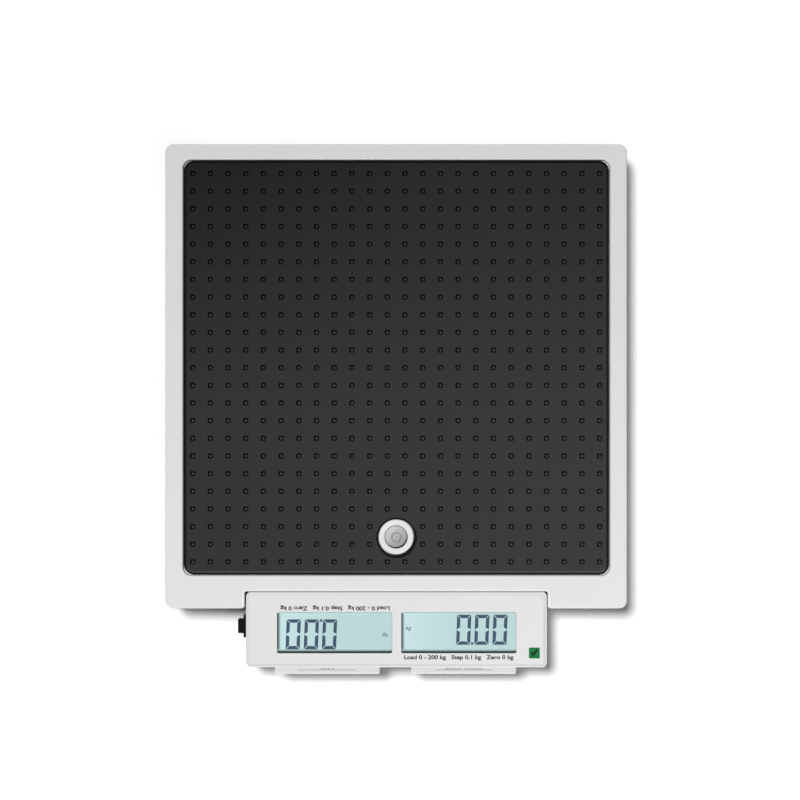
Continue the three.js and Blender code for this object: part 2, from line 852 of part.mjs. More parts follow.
function consoleBase() {
  const top = consoleParting - seat;
  const outer = slab(consoleOutline(0), consoleUnderside, consoleParting + 5, 1.2);
  const above = box(-consoleWidth, consoleWidth, -bodyDepth, bodyDepth, top, overallHeight);
  const floor = consoleUnderside + consoleWall;
  const hollow = slab(consoleOutline(consoleWall), floor, overallHeight);
  let base = cut(outer, above, hollow);
  for (const sign of [-1, 1]) {
    base = cut(base, keyOpening(sign));
    const x = sign * keyX;
    base = join(base, box(x - 22, x + 22, ribFront, ribFront + 2, floor - 0.5, switchZ + 5));
  }
  return cut(base, bar("y", consoleBack - 4, consoleBack + 1, [0, 0, cableHoleZ], cableHoleRadius, 8));
}

function consoleBracket() {
  const half = bracketWidth / 2;
  const z = trayFloor + seat;
  const outline = rectangle(-half, consoleFront + 8, half, notchBack + 7.5, 4);
  return slab(outline, z, z + bracketThickness);
}

function displayWindow(sign) {
  return slab(windowOutline(sign, paneMargin), paneTop - paneThickness, paneTop);
}

function lcd(sign) {
  return slab(windowOutline(sign, paneMargin - 0.3), lcdTop - lcdThickness, lcdTop);
}

function displayBoard() {
  const x = consoleWidth / 2 - 9.5;
  const y0 = ribFront + 4;
  const y1 = consoleBack - 4;
  const board = box(-x, x, y0, y1, displayBoardZ, displayBoardZ + boardThickness);
  const y = consoleBack - cableFromConsoleBack;
  const half = connectorHalf;
  return join(board, box(-5, 5, y - half, y + half, displayBoardZ - half, displayBoardZ + 0.1));
}

// A hollow key with a sloped top for the toe, pivoted on two pins behind its top edge.
function footKey(sign) {
  const x = sign * keyX;
  const half = keyWidth / 2;
  const f = consoleFront;
  const inner = f + consoleWall - 0.1;
  const face = profileAlongX(
    [
      [inner, keyTop],
      [f - 0.3, keyTop],
      [f - keyProud + 0.5, keyTop - keySlope],
      [f - keyProud, keyTop - keySlope - 1.2],
      [f - keyProud, keyBottom + 3],
      [f - keyProud + 0.8, keyBottom + 1],
      [f - keyProud + 2.6, keyBottom],
      [inner, keyBottom],
    ],
    x - half,
    x + half,
  );
  const hollow = profileAlongX(
    [
      [inner + 0.1, keyTop - keySkin],
      [f + 0.6, keyTop - keySkin],
      [f - keyProud + keySkin, keyTop - keySlope - 1.2],
      [f - keyProud + keySkin, keyBottom + keySkin],
      [inner + 0.1, keyBottom + keySkin],
    ],
    x - half + keySkin,
    x + half - keySkin,
  );
  let key = cut(face, hollow);
  const plungerEnd = switchFront - switchTravel - seat;
  const plungerStart = f - keyProud + keySkin - 0.6;
  key = join(key, bar("y", plungerStart, plungerEnd, [x, 0, switchZ], 2.2, 10));
  for (const end of [-1, 1]) {
    const x0 = end < 0 ? x - half : x + half - keySkin;
    const pinFrom = end < 0 ? x0 - keyPinReach : x0;
    key = join(
      key,
      box(x0, x0 + keySkin, inner - 1, keyPivotY + 1.6, keyPivotZ - 1.6, keyPivotZ + 1.6),
      bar("x", pinFrom, pinFrom + keySkin + keyPinReach, [0, keyPivotY, keyPivotZ], keyPinRadius, 12),
    );
  }
  return key;
}

function keySwitch(sign) {
  const x = sign * keyX;
  const body = box(x - 3.1, x + 3.1, ribFront - 3.8, ribFront - seat, switchZ - 3.1, switchZ + 3.1);
  return join(body, bar("y", switchFront, ribFront - 3, [x, 0, switchZ], 1.7, 10));
}

// A coil between the back of the key and the rib behind it.
function keySpring(sign) {
  const x = sign * keyX + 13;
  const from = consoleFront - keyProud + keySkin + 1;
  const to = ribFront - 0.8;
  const turns = 4;
  const points = [];
  for (let i = 0; i <= turns * 8; i += 1) {
    const angle = (i / 8) * 2 * Math.PI;
    const along = from + ((to - from) * i) / (turns * 8);
    points.push([x + 3 * Math.cos(angle), along, switchZ + 3 * Math.sin(angle)]);
  }
  return tube(points, 0.4, turns * 8, 6);
}

function powerInlet() {
  const side = -consoleWidth / 2;
  const half = inletFlangeWidth / 2;
  const block = inletBlockWidth / 2;
  let inlet = box(side - 1.9, side - seat, inletY - half, inletY + half, inletZ - 6, inletZ + 6);
  inlet = join(
    inlet,
    box(side - inletProud, side + 8, inletY - block, inletY + block, inletZ - 4.6, inletZ + 4.6),
  );
  inlet = cut(
    inlet,
    bar("x", side - inletProud - 1, side + 4.5, [0, inletY, inletZ], inletHoleRadius, 16),
  );
  return join(
    inlet,
    bar("x", side - inletProud + 1, side + 5, [0, inletY, inletZ], 1, 10),
  );
}

function sticker() {
  const x = consoleWidth / 2 - stickerInsetSide;
  const y = consoleFront + stickerInsetFront;
  const outline = rectangle(x - stickerSize, y, x, y + stickerSize, 0.5);
  return slab(outline, consoleTop + 0.03, consoleTop + 0.2);
}

function ratingLabel() {
  const outline = rectangle(-110, mainBoardY - 16, -45, mainBoardY + 16, 2);
  return slab(outline, groundClearance - 0.25, groundClearance - 0.05);
}

// ---- Assembly ----
add("top_shell", topShell(), "shell");
add("platform_mat", platformMat(), "mat");
add("load_plate", loadPlate(), "steel");
add("base_tray", baseTray(), "tray");
add("battery_door", batteryDoor(), "tray");
for (let i = 0; i < batteryCount; i += 1) {
  const x = (i - (batteryCount - 1) / 2) * batteryPitch;
  add(`battery_${i + 1}`, battery(x, i % 2 ? 1 : -1), "battery");
}
add("battery_contacts_front", contacts(-1), "steel");
add("battery_contacts_rear", contacts(1), "steel");
eachFoot((name, sign, y) => {
  add(`foot_pad_${name}`, footPad(sign * footX, y), "rubber");
  add(`foot_screw_${name}`, footScrew(sign * footX, y), "plastic");
  add(`load_cell_${name}`, loadCell(sign, y), "aluminium");
  add(`cell_hanger_${name}`, cellHanger(sign, y), "steel");
  add(`cell_cable_${name}`, cellCable(sign, y), "cable");
});
add("main_board", mainBoard(), "board");
add("console_cable", consoleCable(), "cable");
eachScrew((name, x, y) => {
  const head = groundClearance + 0.4;
  const screw = turned(
    [
      [0, head],
      [screwHeadRadius, head],
      [screwHeadRadius, head + screwHeadHeight],
      [screwRadius, head + screwHeadHeight],
      [screwRadius, screwTop],
      [0, screwTop],
    ],
    x,
    y,
    16,
  );
  add(`shell_screw_${name}`, screw, "steel");
});
add("level_collar", levelCollar(), "plastic");
add("level_housing", levelHousing(), "white");
add("level_vial", levelVial(), "clear");
add("level_fluid", levelFluid(), "fluid");
add("console_cover", consoleCover(), "console");
add("console_base", consoleBase(), "console");
add("console_bracket", consoleBracket(), "steel");
add("display_board", displayBoard(), "board");
for (const [side, sign] of Object.entries(sides)) {
  add(`display_window_${side}`, displayWindow(sign), "clear");
  add(`lcd_${side}`, lcd(sign), "lcd");
  add(`key_${side}`, footKey(sign), "console");
  add(`key_switch_${side}`, keySwitch(sign), "plastic");
  add(`key_spring_${side}`, keySpring(sign), "steel");
}
add("power_inlet", powerInlet(), "plastic");
add("check_sticker", sticker(), "sticker");
add("rating_label", ratingLabel(), "label");

export default scale;
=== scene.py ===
"""Looks of a portable floor scale for animals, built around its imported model.

Shapes are worked out in millimetres and scaled to metres when a piece is made.
X runs left to right, Y from front to back, Z up from the floor.
"""

import json
import math

import bmesh
import bpy
from mathutils import Matrix, Vector


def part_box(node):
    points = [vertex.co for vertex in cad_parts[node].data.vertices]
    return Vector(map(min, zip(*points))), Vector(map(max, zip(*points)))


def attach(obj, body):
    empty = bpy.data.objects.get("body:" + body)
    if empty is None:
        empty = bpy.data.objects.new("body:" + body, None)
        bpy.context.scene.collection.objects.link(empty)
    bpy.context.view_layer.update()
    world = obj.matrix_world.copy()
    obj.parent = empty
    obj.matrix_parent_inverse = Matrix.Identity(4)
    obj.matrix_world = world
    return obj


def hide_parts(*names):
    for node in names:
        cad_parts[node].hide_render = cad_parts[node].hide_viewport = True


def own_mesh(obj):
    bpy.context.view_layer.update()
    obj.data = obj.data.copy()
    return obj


MM = 0.001
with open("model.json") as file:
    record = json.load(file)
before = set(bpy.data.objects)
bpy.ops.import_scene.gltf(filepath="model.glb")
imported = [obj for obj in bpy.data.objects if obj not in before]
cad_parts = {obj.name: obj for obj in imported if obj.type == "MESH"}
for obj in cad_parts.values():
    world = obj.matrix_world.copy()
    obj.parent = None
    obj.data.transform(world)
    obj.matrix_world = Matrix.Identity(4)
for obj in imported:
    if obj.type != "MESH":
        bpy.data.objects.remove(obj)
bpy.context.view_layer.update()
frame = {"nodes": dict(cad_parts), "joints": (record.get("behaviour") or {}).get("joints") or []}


def node_box(name):
    """The lowest and highest corner of a CAD node, in millimetres."""
    low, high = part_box(name)
    return low / MM, high / MM


def node_middle(name):
    low, high = node_box(name)
    return (low + high) / 2


# ---- Places and sizes read from the frame ----
SHELL_LOW, SHELL_HIGH = node_box("top_shell")
MAT_LOW, MAT_HIGH = node_box("platform_mat")
COVER_LOW, COVER_HIGH = node_box("console_cover")
BASE_LOW, BASE_HIGH = node_box("console_base")
TRAY_LOW, TRAY_HIGH = node_box("base_tray")
COLLAR_LOW, COLLAR_HIGH = node_box("level_collar")
HOUSING_LOW, HOUSING_HIGH = node_box("level_housing")
VIAL_LOW, VIAL_HIGH = node_box("level_vial")
FLUID_LOW, FLUID_HIGH = node_box("level_fluid")
INLET_LOW, INLET_HIGH = node_box("power_inlet")
INLET_SHIFT = -0.7
INLET_Y = (INLET_LOW.y + INLET_HIGH.y) / 2 + INLET_SHIFT
INLET_Z = (INLET_LOW.z + INLET_HIGH.z) / 2
STICKER_LOW, STICKER_HIGH = node_box("check_sticker")
LABEL_LOW, LABEL_HIGH = node_box("rating_label")
JOINTS = {joint["name"]: joint for joint in frame["joints"]}
LEVEL = (COLLAR_LOW + COLLAR_HIGH) / 2
SIDES = {"left": -1, "right": 1}
FEET = ("front_left", "front_right", "rear_left", "rear_right")

# ---- Walls, gaps and radii ----
SEAT = 0.3  # gap between pieces that rest on or face each other
SHELL_WALL = 3.0
BODY_RADIUS = 5.5
EDGE_FILLET = 1.4
NOTCH_SIDE_GAP = 0.9
NOTCH_BACK_GAP = 0.35
NOTCH_MOUTH_RADIUS = 2.0
NOTCH_CORNER_RADIUS = 1.5
LEVEL_BORE_RADIUS = 11  # hole in the shell below the level
SCREW_BOSS_RADIUS = 4.2
SCREW_BORE_RADIUS = 2
MAT_GAP = 1.55
MAT_EXTRA_RIGHT = 0.4
MAT_EXTRA_FRONT = 0.5
MAT_LIFT = 0.1
MAT_RADIUS = 5.5
MAT_SKIRT = 1.45
PAN_THICKNESS = 2.5
CONSOLE_WALL = 2.5
CONSOLE_RADIUS = 3.2
CONSOLE_EXTRA_RIGHT = 0.35
CONSOLE_EXTRA_FRONT = 0.5
CHAMFER_WIDTH = 2.6
CHAMFER_DROP = 1.2
PANE_MARGIN = 2.0  # how far a display window reaches under its opening's edge
WINDOW_SHIFT = Vector((0.45, -0.25))
PANE_RECESS = 1.6
STICKER_EXTRA = 0.3
INLET_HALF_WIDTH = 5.05
INLET_HALF_HEIGHT = 4.6
KEY_PIN_REACH = 3.8
KEY_GAP = 0.6
KEY_SLOPE = 4.4
KEY_TOE = 1.25
KEY_SKIN = 2.2
KEY_EXTRA_LEFT = 0.6
KEY_SHORT_RIGHT = 0.25
INK_LIFT = 0.015  # lettering stands this far above the surface that it is printed on


# ---- Mesh helpers ----
def rounded(corners, margin=0.0, steps=8):
    """Points round an outline of right-angled corners (x, y, radius), moved in by a margin."""
    points = []
    for i, (x, y, radius) in enumerate(corners):
        here = Vector((x, y))
        arrive = (here - Vector(corners[i - 1][:2])).normalized()
        leave = (Vector(corners[(i + 1) % len(corners)][:2]) - here).normalized()
        left_of_arrive = Vector((-arrive.y, arrive.x))
        left_of_leave = Vector((-leave.y, leave.x))
        turn = arrive.x * leave.y - arrive.y * leave.x
        fillet = max(radius - margin * turn, 0.04)
        start = here + margin * (left_of_arrive + left_of_leave) - arrive * fillet
        centre = start + left_of_arrive * fillet * turn
        for step in range(steps + 1):
            swing = Matrix.Rotation(turn * math.pi / 2 * step / steps, 2)
            points.append(centre + swing @ (start - centre))
    return points


def rectangle(low_x, low_y, high_x, high_y, radius):
    return [
        (low_x, low_y, radius),
        (high_x, low_y, radius),
        (high_x, high_y, radius),
        (low_x, high_y, radius),
    ]


def circle(x, y, radius, count=96):
    turns = [2 * math.pi * i / count for i in range(count)]
    return [Vector((x + radius * math.cos(a), y + radius * math.sin(a))) for a in turns]


def at(points, z):
    return [Vector((p.x, p.y, z)) for p in points]


def top_edge(z, radius, start=0.0, steps=4):
    """(margin, z) pairs of a fillet that ends flat at height z."""
    angles = [math.pi / 2 * i / steps for i in range(steps + 1)]
    return [(start + radius * (1 - math.cos(a)), z - radius + radius * math.sin(a)) for a in angles]


def bottom_edge(z, radius, start=0.0, steps=3):
    return [(margin, 2 * z - level) for margin, level in reversed(top_edge(z, radius, start, steps))]


def loft(bm, rings, cap_first=False, cap_last=False, material=0):
    """Joins rings of equally many points with quads, and returns their vertices."""
    rows = [[bm.verts.new(point) for point in ring] for ring in rings]
    for low, high in zip(rows, rows[1:]):
        for i in range(len(low)):
            j = (i + 1) % len(low)
            bm.faces.new((low[i], low[j], high[j], high[i])).material_index = material
    if cap_first:
        bm.faces.new(list(reversed(rows[0]))).material_index = material
    if cap_last:
        bm.faces.new(rows[-1]).material_index = material
    return rows


def stack(bm, corners, levels, steps=8, **caps):
    """Lofts one outline through (margin, z) pairs."""
    return loft(bm, [at(rounded(corners, margin, steps), z) for margin, z in levels], **caps)


def fill(bm, *rows):
    """Fills the flat area inside the first row of vertices and outside the others."""
    edges = []
    for row in rows:
        for i, vertex in enumerate(row):
            pair = (vertex, row[(i + 1) % len(row)])
            edges.append(bm.edges.get(pair) or bm.edges.new(pair))
    bmesh.ops.triangle_fill(bm, edges=edges, use_beauty=True, use_dissolve=False)


def turned(bm, profile, segments=64, material=0):
    """Turns (radius, z) pairs: an open profile that starts and ends on the axis, or a closed ring."""
    on_axis = profile[0][0] == 0
    rows = []
    for radius, z in profile:
        if radius == 0:
            rows.append([bm.verts.new((0, 0, z))])
        else:
            rows.append([bm.verts.new(p) for p in at(circle(0, 0, radius, segments), z)])
    pairs = list(zip(rows, rows[1:]))
    if not on_axis:
        pairs.append((rows[-1], rows[0]))
    for low, high in pairs:
        for i in range(segments):
            j = (i + 1) % segments
            corners = [low[i % len(low)], low[j % len(low)], high[j % len(high)], high[i % len(high)]]
            bm.faces.new(list(dict.fromkeys(corners))).material_index = material


def block(x0, x1, y0, y1, z0, z1, fillet=0.0, steps=2):
    bm = bmesh.new()
    size = Matrix.Diagonal((x1 - x0, y1 - y0, z1 - z0, 1))
    middle = Matrix.Translation(((x0 + x1) / 2, (y0 + y1) / 2, (z0 + z1) / 2))
    bmesh.ops.create_cube(bm, size=1, matrix=middle @ size)
    if fillet:
        bmesh.ops.bevel(
            bm, geom=bm.edges[:], offset=fillet, segments=steps, affect="EDGES", profile=0.5
        )
    return solid(bm)


def rod(axis, start, end, centre, radius, segments=32, chamfer=0.0):
    """A round bar along an axis, with its ends chamfered."""
    bm = bmesh.new()
    profile = [
        (0, start),
        (radius - chamfer, start),
        (radius, start + chamfer),
        (radius, end - chamfer),
        (radius - chamfer, end),
        (0, end),
    ]
    if not chamfer:
        profile = [(0, start), (radius, start), (radius, end), (0, end)]
    turned(bm, profile, segments)
    turn = {
        "x": Matrix.Rotation(math.pi / 2, 4, "Y"),
        "y": Matrix.Rotation(-math.pi / 2, 4, "X"),
        "z": Matrix.Identity(4),
    }[axis]
    bmesh.ops.transform(bm, matrix=Matrix.Translation(centre) @ turn, verts=bm.verts)
    return solid(bm)


def solid(bm):
    """A scratch object, in millimetres, that pieces are cut and joined from."""
    bmesh.ops.recalc_face_normals(bm, faces=bm.faces)
    mesh = bpy.data.meshes.new("scratch")
    bm.to_mesh(mesh)
    bm.free()
    scratch = bpy.data.objects.new("scratch", mesh)
    bpy.context.scene.collection.objects.link(scratch)
    return scratch


def applied(obj):
    """The object with its modifiers made part of its mesh."""
    evaluated = obj.evaluated_get(bpy.context.evaluated_depsgraph_get())
    mesh = bpy.data.meshes.new_from_object(evaluated)
    obj.modifiers.clear()
    obj.data = mesh
    return obj


def combine(first, operation, others):
    for other in others:
        modifier = first.modifiers.new("combine", "BOOLEAN")
        modifier.object = other
        modifier.operation = operation
        modifier.solver = "EXACT"
        applied(first)
        bpy.data.objects.remove(other)
    return first


def cut(first, *others):
    return combine(first, "DIFFERENCE", others)


def join(first, *others):
    return combine(first, "UNION", others)


def soften(obj, sharp_degrees=35):
    """Smooth shading, with the edges over an angle left sharp."""
    bm = bmesh.new()
    bm.from_mesh(obj.data)
    for face in bm.faces:
        face.smooth = True
    for edge in bm.edges:
        edge.smooth = edge.is_manifold and edge.calc_face_angle(0) < math.radians(sharp_degrees)
    bm.to_mesh(obj.data)
    bm.free()


def piece(name, scratch, materials, body="base", replaces=(), sharp_degrees=35):
    """Turns a scratch object into a piece: in metres, shaded, painted and riding on its body."""
    scratch.data.transform(Matrix.Scale(MM, 4))
    scratch.name = name
    scratch.data.name = name
    materials = materials if isinstance(materials, (list, tuple)) else [materials]
    for material in materials:
        scratch.data.materials.append(material)
    soften(scratch, sharp_degrees)
    weighted = scratch.modifiers.new("weighted_normals", "WEIGHTED_NORMAL")
    weighted.keep_sharp = True
    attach(scratch, body)
    if replaces:
        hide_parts(*replaces)
    return scratch


def stand_in(node, scratch, materials, body="base", sharp_degrees=35):
    """A finer piece that takes the place of a CAD node."""
    return piece(f"{node}_fine", scratch, materials, body, [node], sharp_degrees)


def repaint(obj, material, wanted):
    """Paints the faces that a test of their centre, in millimetres, and normal picks."""
    obj.data.materials.append(material)
    for face in obj.data.polygons:
        if wanted(face.center / MM, face.normal):
            face.material_index = len(obj.data.materials) - 1


# ---- Materials ----
class Paint:
    """A node material, built up a few nodes at a time around its Principled shader."""

    def __init__(self, name):
        self.material = bpy.data.materials.new(name)
        self.material.use_nodes = True
        self.nodes = self.material.node_tree.nodes
        self.links = self.material.node_tree.links
        self.shader = self.nodes["Principled BSDF"]
        self.place = self.nodes.new("ShaderNodeTexCoord").outputs["Object"]

    def link(self, output, target):
        self.links.new(output, target)

    def noise(self, size_mm, detail=2.0, stretch=(1, 1, 1)):
        """Noise with features of about this size."""
        mapping = self.nodes.new("ShaderNodeMapping")
        mapping.inputs["Scale"].default_value = stretch
        self.link(self.place, mapping.inputs["Vector"])
        noise = self.nodes.new("ShaderNodeTexNoise")
        noise.inputs["Scale"].default_value = 1 / (size_mm * MM)
        noise.inputs["Detail"].default_value = detail
        self.link(mapping.outputs["Vector"], noise.inputs["Vector"])
        return noise.outputs["Fac"]

    def spread(self, value, low, high, from_low=0.3, from_high=0.7):
        mapped = self.nodes.new("ShaderNodeMapRange")
        mapped.inputs["From Min"].default_value = from_low
        mapped.inputs["From Max"].default_value = from_high
        mapped.inputs["To Min"].default_value = low
        mapped.inputs["To Max"].default_value = high
        self.link(value, mapped.inputs["Value"])
        return mapped.outputs["Result"]

    def along(self, axis, start_mm, end_mm):
        """0 at one place along an axis and 1 at another."""
        parts = self.nodes.new("ShaderNodeSeparateXYZ")
        self.link(self.place, parts.inputs["Vector"])
        return self.spread(parts.outputs[axis], 0, 1, start_mm * MM, end_mm * MM)

    def blend(self, factor, first, second):
        """Mixes two colours, each a colour or another node's output."""
        mix = self.nodes.new("ShaderNodeMix")
        mix.data_type = "RGBA"
        self.link(factor, mix.inputs["Factor"])
        for socket, value in ((mix.inputs[6], first), (mix.inputs[7], second)):
            if isinstance(value, bpy.types.NodeSocket):
                self.link(value, socket)
            else:
                socket.default_value = (*value, 1)
        return mix.outputs[2]

    def ramp(self, value, stops):
        ramp = self.nodes.new("ShaderNodeValToRGB")
        elements = ramp.color_ramp.elements
        while len(elements) < len(stops):
            elements.new(0.5)
        for element, (position, colour) in zip(elements, stops):
            element.position = position
            element.color = (*colour, 1)
        self.link(value, ramp.inputs["Fac"])
        return ramp.outputs["Color"]

    def colour(self, value):
        self.link(value, self.shader.inputs["Base Color"])

    def roughness(self, value):
        self.link(value, self.shader.inputs["Roughness"])

    def bump(self, height, depth_mm, strength=1.0):
        bump = self.nodes.new("ShaderNodeBump")
        bump.inputs["Distance"].default_value = depth_mm * MM
        bump.inputs["Strength"].default_value = strength
        self.link(height, bump.inputs["Height"])
        self.link(bump.outputs["Normal"], self.shader.inputs["Normal"])

    def set(self, **values):
        for name, value in values.items():
            self.shader.inputs[name.replace("_", " ")].default_value = value
        return self.material


def shade(colour, factor):
    return tuple(min(channel * factor, 1) for channel in colour)


def moulded(name, colour, mottle=0.03, roughness=0.45, grain_mm=0.5, grain_depth=0.02, gloss=0.5, back_shade=0.0):
    """Moulded plastic: fine grain, slight mottling, uneven gloss; the last argument paints shade into the
    colour, darker to the back.
    """
    paint = Paint(name)
    patches = paint.spread(paint.noise(35, 3), 0, 1)
    base = paint.blend(patches, shade(colour, 1 - mottle), shade(colour, 1 + mottle))
    if back_shade:
        # painted shade: a darker copy of the colour, blended in towards the back
        back_shaded = paint.blend(patches, shade(colour, 1 - mottle - back_shade), shade(colour, 1 + mottle - back_shade))
        base = paint.blend(paint.along("Y", SHELL_LOW.y, SHELL_HIGH.y), base, back_shaded)
    paint.colour(base)
    paint.roughness(paint.spread(paint.noise(9, 2), roughness - 0.06, roughness + 0.06))
    paint.bump(paint.noise(grain_mm, 3), grain_depth, 0.5)
    return paint.set(Specular_IOR_Level=gloss)


def metal(name, colour, roughness=0.35, brush=(1, 1, 1), scratch_mm=0.6):
    """Bare or plated metal, brushed along the axis with the small stretch."""
    paint = Paint(name)
    streaks = paint.noise(scratch_mm, 4, brush)
    paint.colour(paint.blend(paint.spread(streaks, 0, 1), shade(colour, 0.85), shade(colour, 1.08)))
    paint.roughness(paint.spread(streaks, roughness - 0.1, roughness + 0.12))
    paint.bump(streaks, 0.01, 0.3)
    return paint.set(Metallic=1.0)


def mat_rubber(name, tone=1.0):
    """Charcoal rubber with a fine matt grain; painted shade makes it darkest at the back left and paler
    towards the front right, and tone gives lighter or darker copies.
    """
    paint = Paint(name)
    charcoal = shade((0.0275, 0.0243, 0.0268), tone)
    across = paint.along("X", MAT_LOW.x, MAT_HIGH.x * 0.4)
    forward = paint.along("Y", MAT_HIGH.y, 0)
    # painted shade: the colour darkens towards the back, more on the left than on the right
    shaded_right = paint.blend(forward, shade(charcoal, 0.60), charcoal)
    plain = paint.blend(across, paint.blend(forward, shade(charcoal, 0.38), shade(charcoal, 0.95)), shaded_right)
    paint.colour(plain)
    paint.roughness(paint.spread(paint.noise(3, 2), 0.40, 0.46))
    paint.bump(paint.noise(0.45, 3), 0.02, 0.4)
    return paint.set(Specular_IOR_Level=0.3)


def clear_cover(name, tint, alpha, gloss):
    """Clear acrylic, a little hazy with fine scratches."""
    paint = Paint(name)
    haze = paint.noise(7, 4)
    paint.colour(paint.blend(paint.spread(haze, 0, 1), shade(tint, 0.97), tint))
    paint.roughness(paint.spread(haze, 0.03, 0.09))
    paint.material.surface_render_method = "BLENDED"
    return paint.set(Alpha=alpha, IOR=1.49, Specular_IOR_Level=gloss)


def display_glass(side):
    """The pale aqua of a reflective liquid-crystal display, deeper towards its right."""
    low, high = node_box(f"lcd_{side}")
    paint = Paint(f"display_glass_{side}")
    across = paint.along("X", low.x, high.x)
    pale = (0.46, 0.63, 0.64)
    deep = (0.375, 0.53, 0.525)
    tone = paint.ramp(across, [(0.0, pale), (0.45, (0.39, 0.55, 0.545)), (1.0, deep)])
    cloud = paint.spread(paint.noise(22, 1), 0, 0.25)
    paint.colour(paint.blend(cloud, tone, (0.42, 0.58, 0.58)))
    paint.roughness(paint.spread(paint.noise(3, 2), 0.25, 0.35))
    return paint.set(Specular_IOR_Level=0.1)


def printed_ink(name, colour, roughness=0.5):
    """Ink with slightly uneven cover."""
    paint = Paint(name)
    cover = paint.spread(paint.noise(0.6, 3), 0, 1)
    paint.colour(paint.blend(cover, shade(colour, 0.85), shade(colour, 1.25)))
    paint.roughness(paint.spread(cover, roughness - 0.05, roughness + 0.1))
    return paint.set(Specular_IOR_Level=0.2)


def battery_wrap():
    """A dark shrink sleeve with a copper band at its back, and bare metal in front."""
    low, high = node_box("battery_1")
    paint = Paint("battery_wrap")
    along = paint.along("Y", low.y, high.y)
    bare, dark, copper = (0.55, 0.55, 0.56), (0.03, 0.05, 0.10), (0.62, 0.36, 0.14)
    bands = paint.ramp(along, [(0.0, bare), (0.03, dark), (0.72, dark), (0.74, copper)])
    scuffs = paint.spread(paint.noise(4, 4), 0, 0.15)
    paint.colour(paint.blend(scuffs, bands, (0.4, 0.4, 0.42)))
    paint.roughness(paint.spread(paint.noise(6, 2), 0.25, 0.4))
    return paint.set(Metallic=0.4)


def circuit_board():
    """Green solder mask over copper tracks."""
    paint = Paint("circuit_board")
    brick = paint.nodes.new("ShaderNodeTexBrick")
    brick.inputs["Scale"].default_value = 1 / (6 * MM)
    brick.inputs["Mortar Size"].default_value = 0.03
    paint.link(paint.place, brick.inputs["Vector"])
    paint.colour(paint.blend(brick.outputs["Fac"], (0.01, 0.10, 0.035), (0.03, 0.2, 0.07)))
    paint.roughness(paint.spread(paint.noise(5, 2), 0.3, 0.45))
    return paint.material


def level_liquid():
    """Pale grey liquid, with painted shade that darkens it away from the upper left."""
    paint = Paint("level_liquid")
    across = paint.along("X", -FLUID_HIGH.x * 1.2, FLUID_HIGH.x * 1.2)
    up = paint.along("Y", FLUID_LOW.y, FLUID_HIGH.y)
    back_edge = paint.blend(across, (0.60, 0.59, 0.59), (0.28, 0.27, 0.275))
    front_edge = paint.blend(across, (0.28, 0.275, 0.27), (0.10, 0.095, 0.098))
    paint.colour(paint.blend(up, front_edge, back_edge))
    paint.roughness(paint.spread(paint.noise(2, 2), 0.3, 0.4))
    return paint.set(Specular_IOR_Level=0.2)


# The shell's colour carries painted shade, darker towards the back.
SHELL = moulded("shell_plastic", (0.635, 0.617, 0.622), 0.01, 0.40, back_shade=0.14)
CONSOLE = moulded("console_plastic", (0.622, 0.617, 0.619), 0.01, 0.36)
KEY_PLASTIC = moulded("key_plastic", (0.73, 0.73, 0.735), 0.01, 0.36)
# Painted highlight: a paler copy of the shell plastic for its lit fillets.
SHELL_EDGE_HIGHLIGHT = moulded("shell_edge_painted_highlight", (0.76, 0.75, 0.76), 0.01, 0.30)
# Painted highlight: a near-white plastic for lit edges of the console and keys.
CONSOLE_EDGE_HIGHLIGHT = moulded("console_edge_painted_highlight", (0.92, 0.92, 0.92), 0.01, 0.30)
RUBBER = mat_rubber("mat_rubber")
# Painted shade: a much darker copy of the rubber for the grooves of the dimples.
RUBBER_GROOVE_SHADE = mat_rubber("mat_groove_painted_shade", 0.12)
# Painted highlight: a lighter copy of the rubber for the tops of the studs.
RUBBER_STUD_HIGHLIGHT = mat_rubber("mat_stud_painted_highlight", 1.9)
# Painted highlight: a much lighter copy of the rubber for the mat's front edge.
RUBBER_EDGE_HIGHLIGHT = mat_rubber("mat_edge_painted_highlight", 4.0)
TRAY = moulded("tray_plastic", (0.085, 0.085, 0.09), 0.06, 0.55, 0.7, 0.04)
FOOT_RUBBER = moulded("foot_rubber", (0.018, 0.018, 0.02), 0.1, 0.75, 0.5, 0.05)
FOOT_PLASTIC = moulded("foot_plastic", (0.02, 0.02, 0.021), 0.08, 0.42, 0.5, 0.02)
BLACK = moulded("black_plastic", (0.006, 0.006, 0.007), 0.1, 0.5, 0.4, 0.02, 0.15)
WHITE = moulded("level_white", (0.66, 0.65, 0.66), 0.02, 0.3, 0.6, 0.01)
STEEL = metal("zinc_steel", (0.56, 0.57, 0.58))
SCREW_STEEL = metal("screw_steel", (0.5, 0.5, 0.51), 0.3)
SPRING_STEEL = metal("spring_steel", (0.45, 0.45, 0.46), 0.25)
ALUMINIUM = metal("cell_aluminium", (0.66, 0.68, 0.7), 0.3, (0.08, 1, 1))
PANE = clear_cover("display_pane", (0.9, 0.96, 0.96), 0.025, 0.1)
DOME = clear_cover("level_dome", (0.8, 0.8, 0.8), 0.12, 0.3)
INK = printed_ink("black_ink", (0.012, 0.011, 0.012))
GREY_INK = printed_ink("grey_ink", (0.16, 0.155, 0.16))
SEGMENT = printed_ink("segment_ink", (0.006, 0.032, 0.085), 0.4)
GREEN = printed_ink("green_sticker", (0.004, 0.15, 0.036), 0.45)
LABEL = printed_ink("label_foil", (0.42, 0.42, 0.43), 0.3)
BOARD = circuit_board()
BATTERY = battery_wrap()
CABLE = moulded("cable_sleeve", (0.2, 0.2, 0.21), 0.06, 0.5)
LIQUID = level_liquid()


